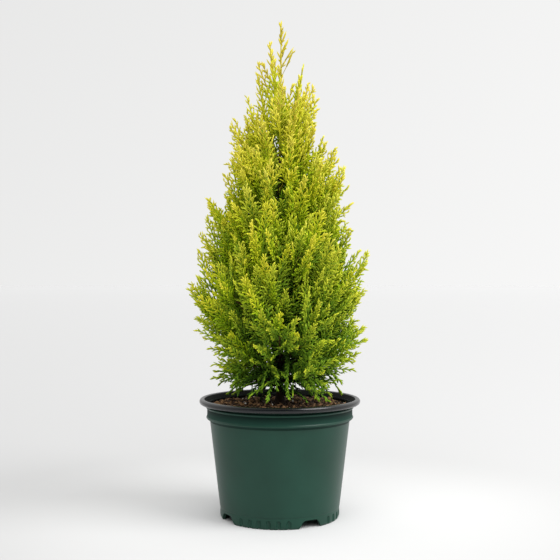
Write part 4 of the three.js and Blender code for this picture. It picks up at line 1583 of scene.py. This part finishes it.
def plant():
    bark = bark_finish("trunk_bark", paint(38, 25, 19), paint(98, 68, 50), paint(84, 78, 44))
    twig_bark = bark_finish("twig_bark", paint(70, 50, 30), paint(128, 104, 52),
                            paint(112, 118, 44))
    green_bark = bark_finish("green_stem", paint(172, 162, 50), paint(212, 198, 72),
                             paint(198, 186, 66))
    trunk, boughs, stems = Heap(), Heap(), Heap()
    press_trunk(trunk)
    press_boughs(boughs)
    press_stems(stems)
    trunk.piece("trunk_with_bark", [bark, green_bark], "bark", ["trunk"])
    boughs.piece("boughs_with_bark", [bark], "bark",
                 [f"bough_{n + 1:02d}" for n in range(BOUGHS)])
    stems.piece("stems_and_twigs", [twig_bark, green_bark], "bark")
    finishes = foliage_finishes()
    for first, last in MASS_GROUPS:
        foliage = Foliage(SEED + 31 * first + 1)
        for mass in MASSES[first:last]:
            dress(mass, foliage)
        foliage.piece(f"fronds_{first + 1:02d}_to_{last:02d}", finishes,
                      "foliage_green" if last <= LOW_BOUGHS else "foliage_gold",
                      ["foliage_leader" if index == BOUGHS else f"foliage_{index + 1:02d}"
                       for index in range(first, last)])
    for name, first, last in FINE_GROUPS:
        foliage = Foliage(SEED + 19 * last)
        for index in range(first, last):
            dress_fine_limb(FINE_LINES[index], index, foliage)
        foliage.piece(f"fronds_between_{name}", finishes,
                      "foliage_green" if name == "low" else "foliage_gold")
    foliage = Foliage(SEED + 77)
    trunk_fronds(foliage)
    skirt(foliage)
    fringe(foliage)
    foot_fronds(foliage)
    foliage.piece("fronds_round_the_trunk", finishes, "foliage_green")


# Studio

def floor():
    made = bmesh.new()
    bmesh.ops.create_circle(made, cap_ends=True, segments=96, radius=FLOOR_RADIUS)
    mesh = bpy.data.meshes.new("floor")
    made.to_mesh(mesh)
    made.free()
    finish = Finish("pale_floor_painted_light", (FAR_FLOOR, FAR_FLOOR, FAR_FLOOR, 1), 0.9, 0.0)
    place = finish.place()
    away = finish.node("ShaderNodeVectorMath", {"operation": "LENGTH"}, {0: place}, out="Value")
    aside = finish.dot(place, X_AXIS) * (away + 0.4) ** -1
    share = finish.node("ShaderNodeMapRange", {"interpolation_type": "SMOOTHSTEP"},
                        {"Value": away, "From Min": FLOOR_DIMS[0], "From Max": FLOOR_DIMS[1]})
    # Painted light: a lighter pool round the pot, darker to the left, lighter towards the horizon.
    shade = (NEAR_FLOOR * (1 - share) * (1 + 0.6 * PAINTED_LIGHT_SLANT * aside)
             + FAR_FLOOR * share * (1 + PAINTED_LIGHT_SLANT * aside))
    shade = shade * finish.span(away, *HORIZON_RISE, 1, HORIZON_GAIN)
    finish.feed(Base_Color=finish.node("ShaderNodeCombineXYZ", None,
                                       {"X": shade, "Y": shade, "Z": shade}))
    mesh.materials.append(finish.material)
    piece = placed("floor", mesh)


def room():
    """A plain backdrop for the camera, and softboxes for every other ray."""
    world = bpy.data.worlds.new("studio")
    world.use_nodes = True
    sky = Nodes(world.node_tree)
    towards = sky.node("ShaderNodeTexCoord", out="Generated")

    def facing(x, y, z):
        return sky.dot(towards, (x, y, z))

    sides = sky.node("ShaderNodeMath", {"operation": "ABSOLUTE"}, {0: facing(1, 0, 0)})
    overhead = sky.math("MAXIMUM", facing(0, 0, 1), 0.0)
    softboxes = (ROOM_LEVEL + SIDE_SOFTBOXES * sides + facing(0.1, 0.08, 0)
                 + TOP_SOFTBOX * overhead)
    seen = sky.node("ShaderNodeLightPath", out="Is Camera Ray")
    softboxes = softboxes * (1 - DIM_ROOM * sky.math("MAXIMUM", facing(0, -0.95, 0.5), 0.0))
    level = (BACKDROP + facing(0.16, 0, -0.1)) * seen + softboxes * (1 - seen)
    background = world.node_tree.nodes["Background"]
    background.inputs["Color"].default_value = (1, 1, 0.995, 1)
    sky.plug(background.inputs["Strength"], level)
    bpy.context.scene.world = world


def sun(name, energy, at, width):
    data = bpy.data.lights.new(name, "SUN")
    data.energy = energy
    data.angle = math.radians(width)
    lamp = placed(name, data)
    lamp.location = at
    lamp.rotation_euler = (LIGHTS_AIM - Vector(at)).to_track_quat("-Z", "Y").to_euler()
    return lamp


def studio():
    room()
    floor()
    key_from = Vector((math.cos(KEY_AZIMUTH) * math.cos(KEY_ELEVATION),
                       math.sin(KEY_AZIMUTH) * math.cos(KEY_ELEVATION), math.sin(KEY_ELEVATION)))
    sun("key", KEY_STRENGTH, key_from * 5, 38)
    sun("fill", FILL_STRENGTH, FILL_AT, 64).visible_glossy = False
    scene = bpy.context.scene
    scene.view_settings.view_transform = "Standard"
    camera = placed("camera", bpy.data.cameras.new("camera"))
    camera.location = CAMERA_AT
    camera.rotation_euler = (math.pi / 2, 0, 0)
    camera.data.sensor_width = 36
    camera.data.lens = CAMERA_LENS
    scene.camera = camera


wall_and_collar()
roll_and_lining()
soil()
plant()
studio()
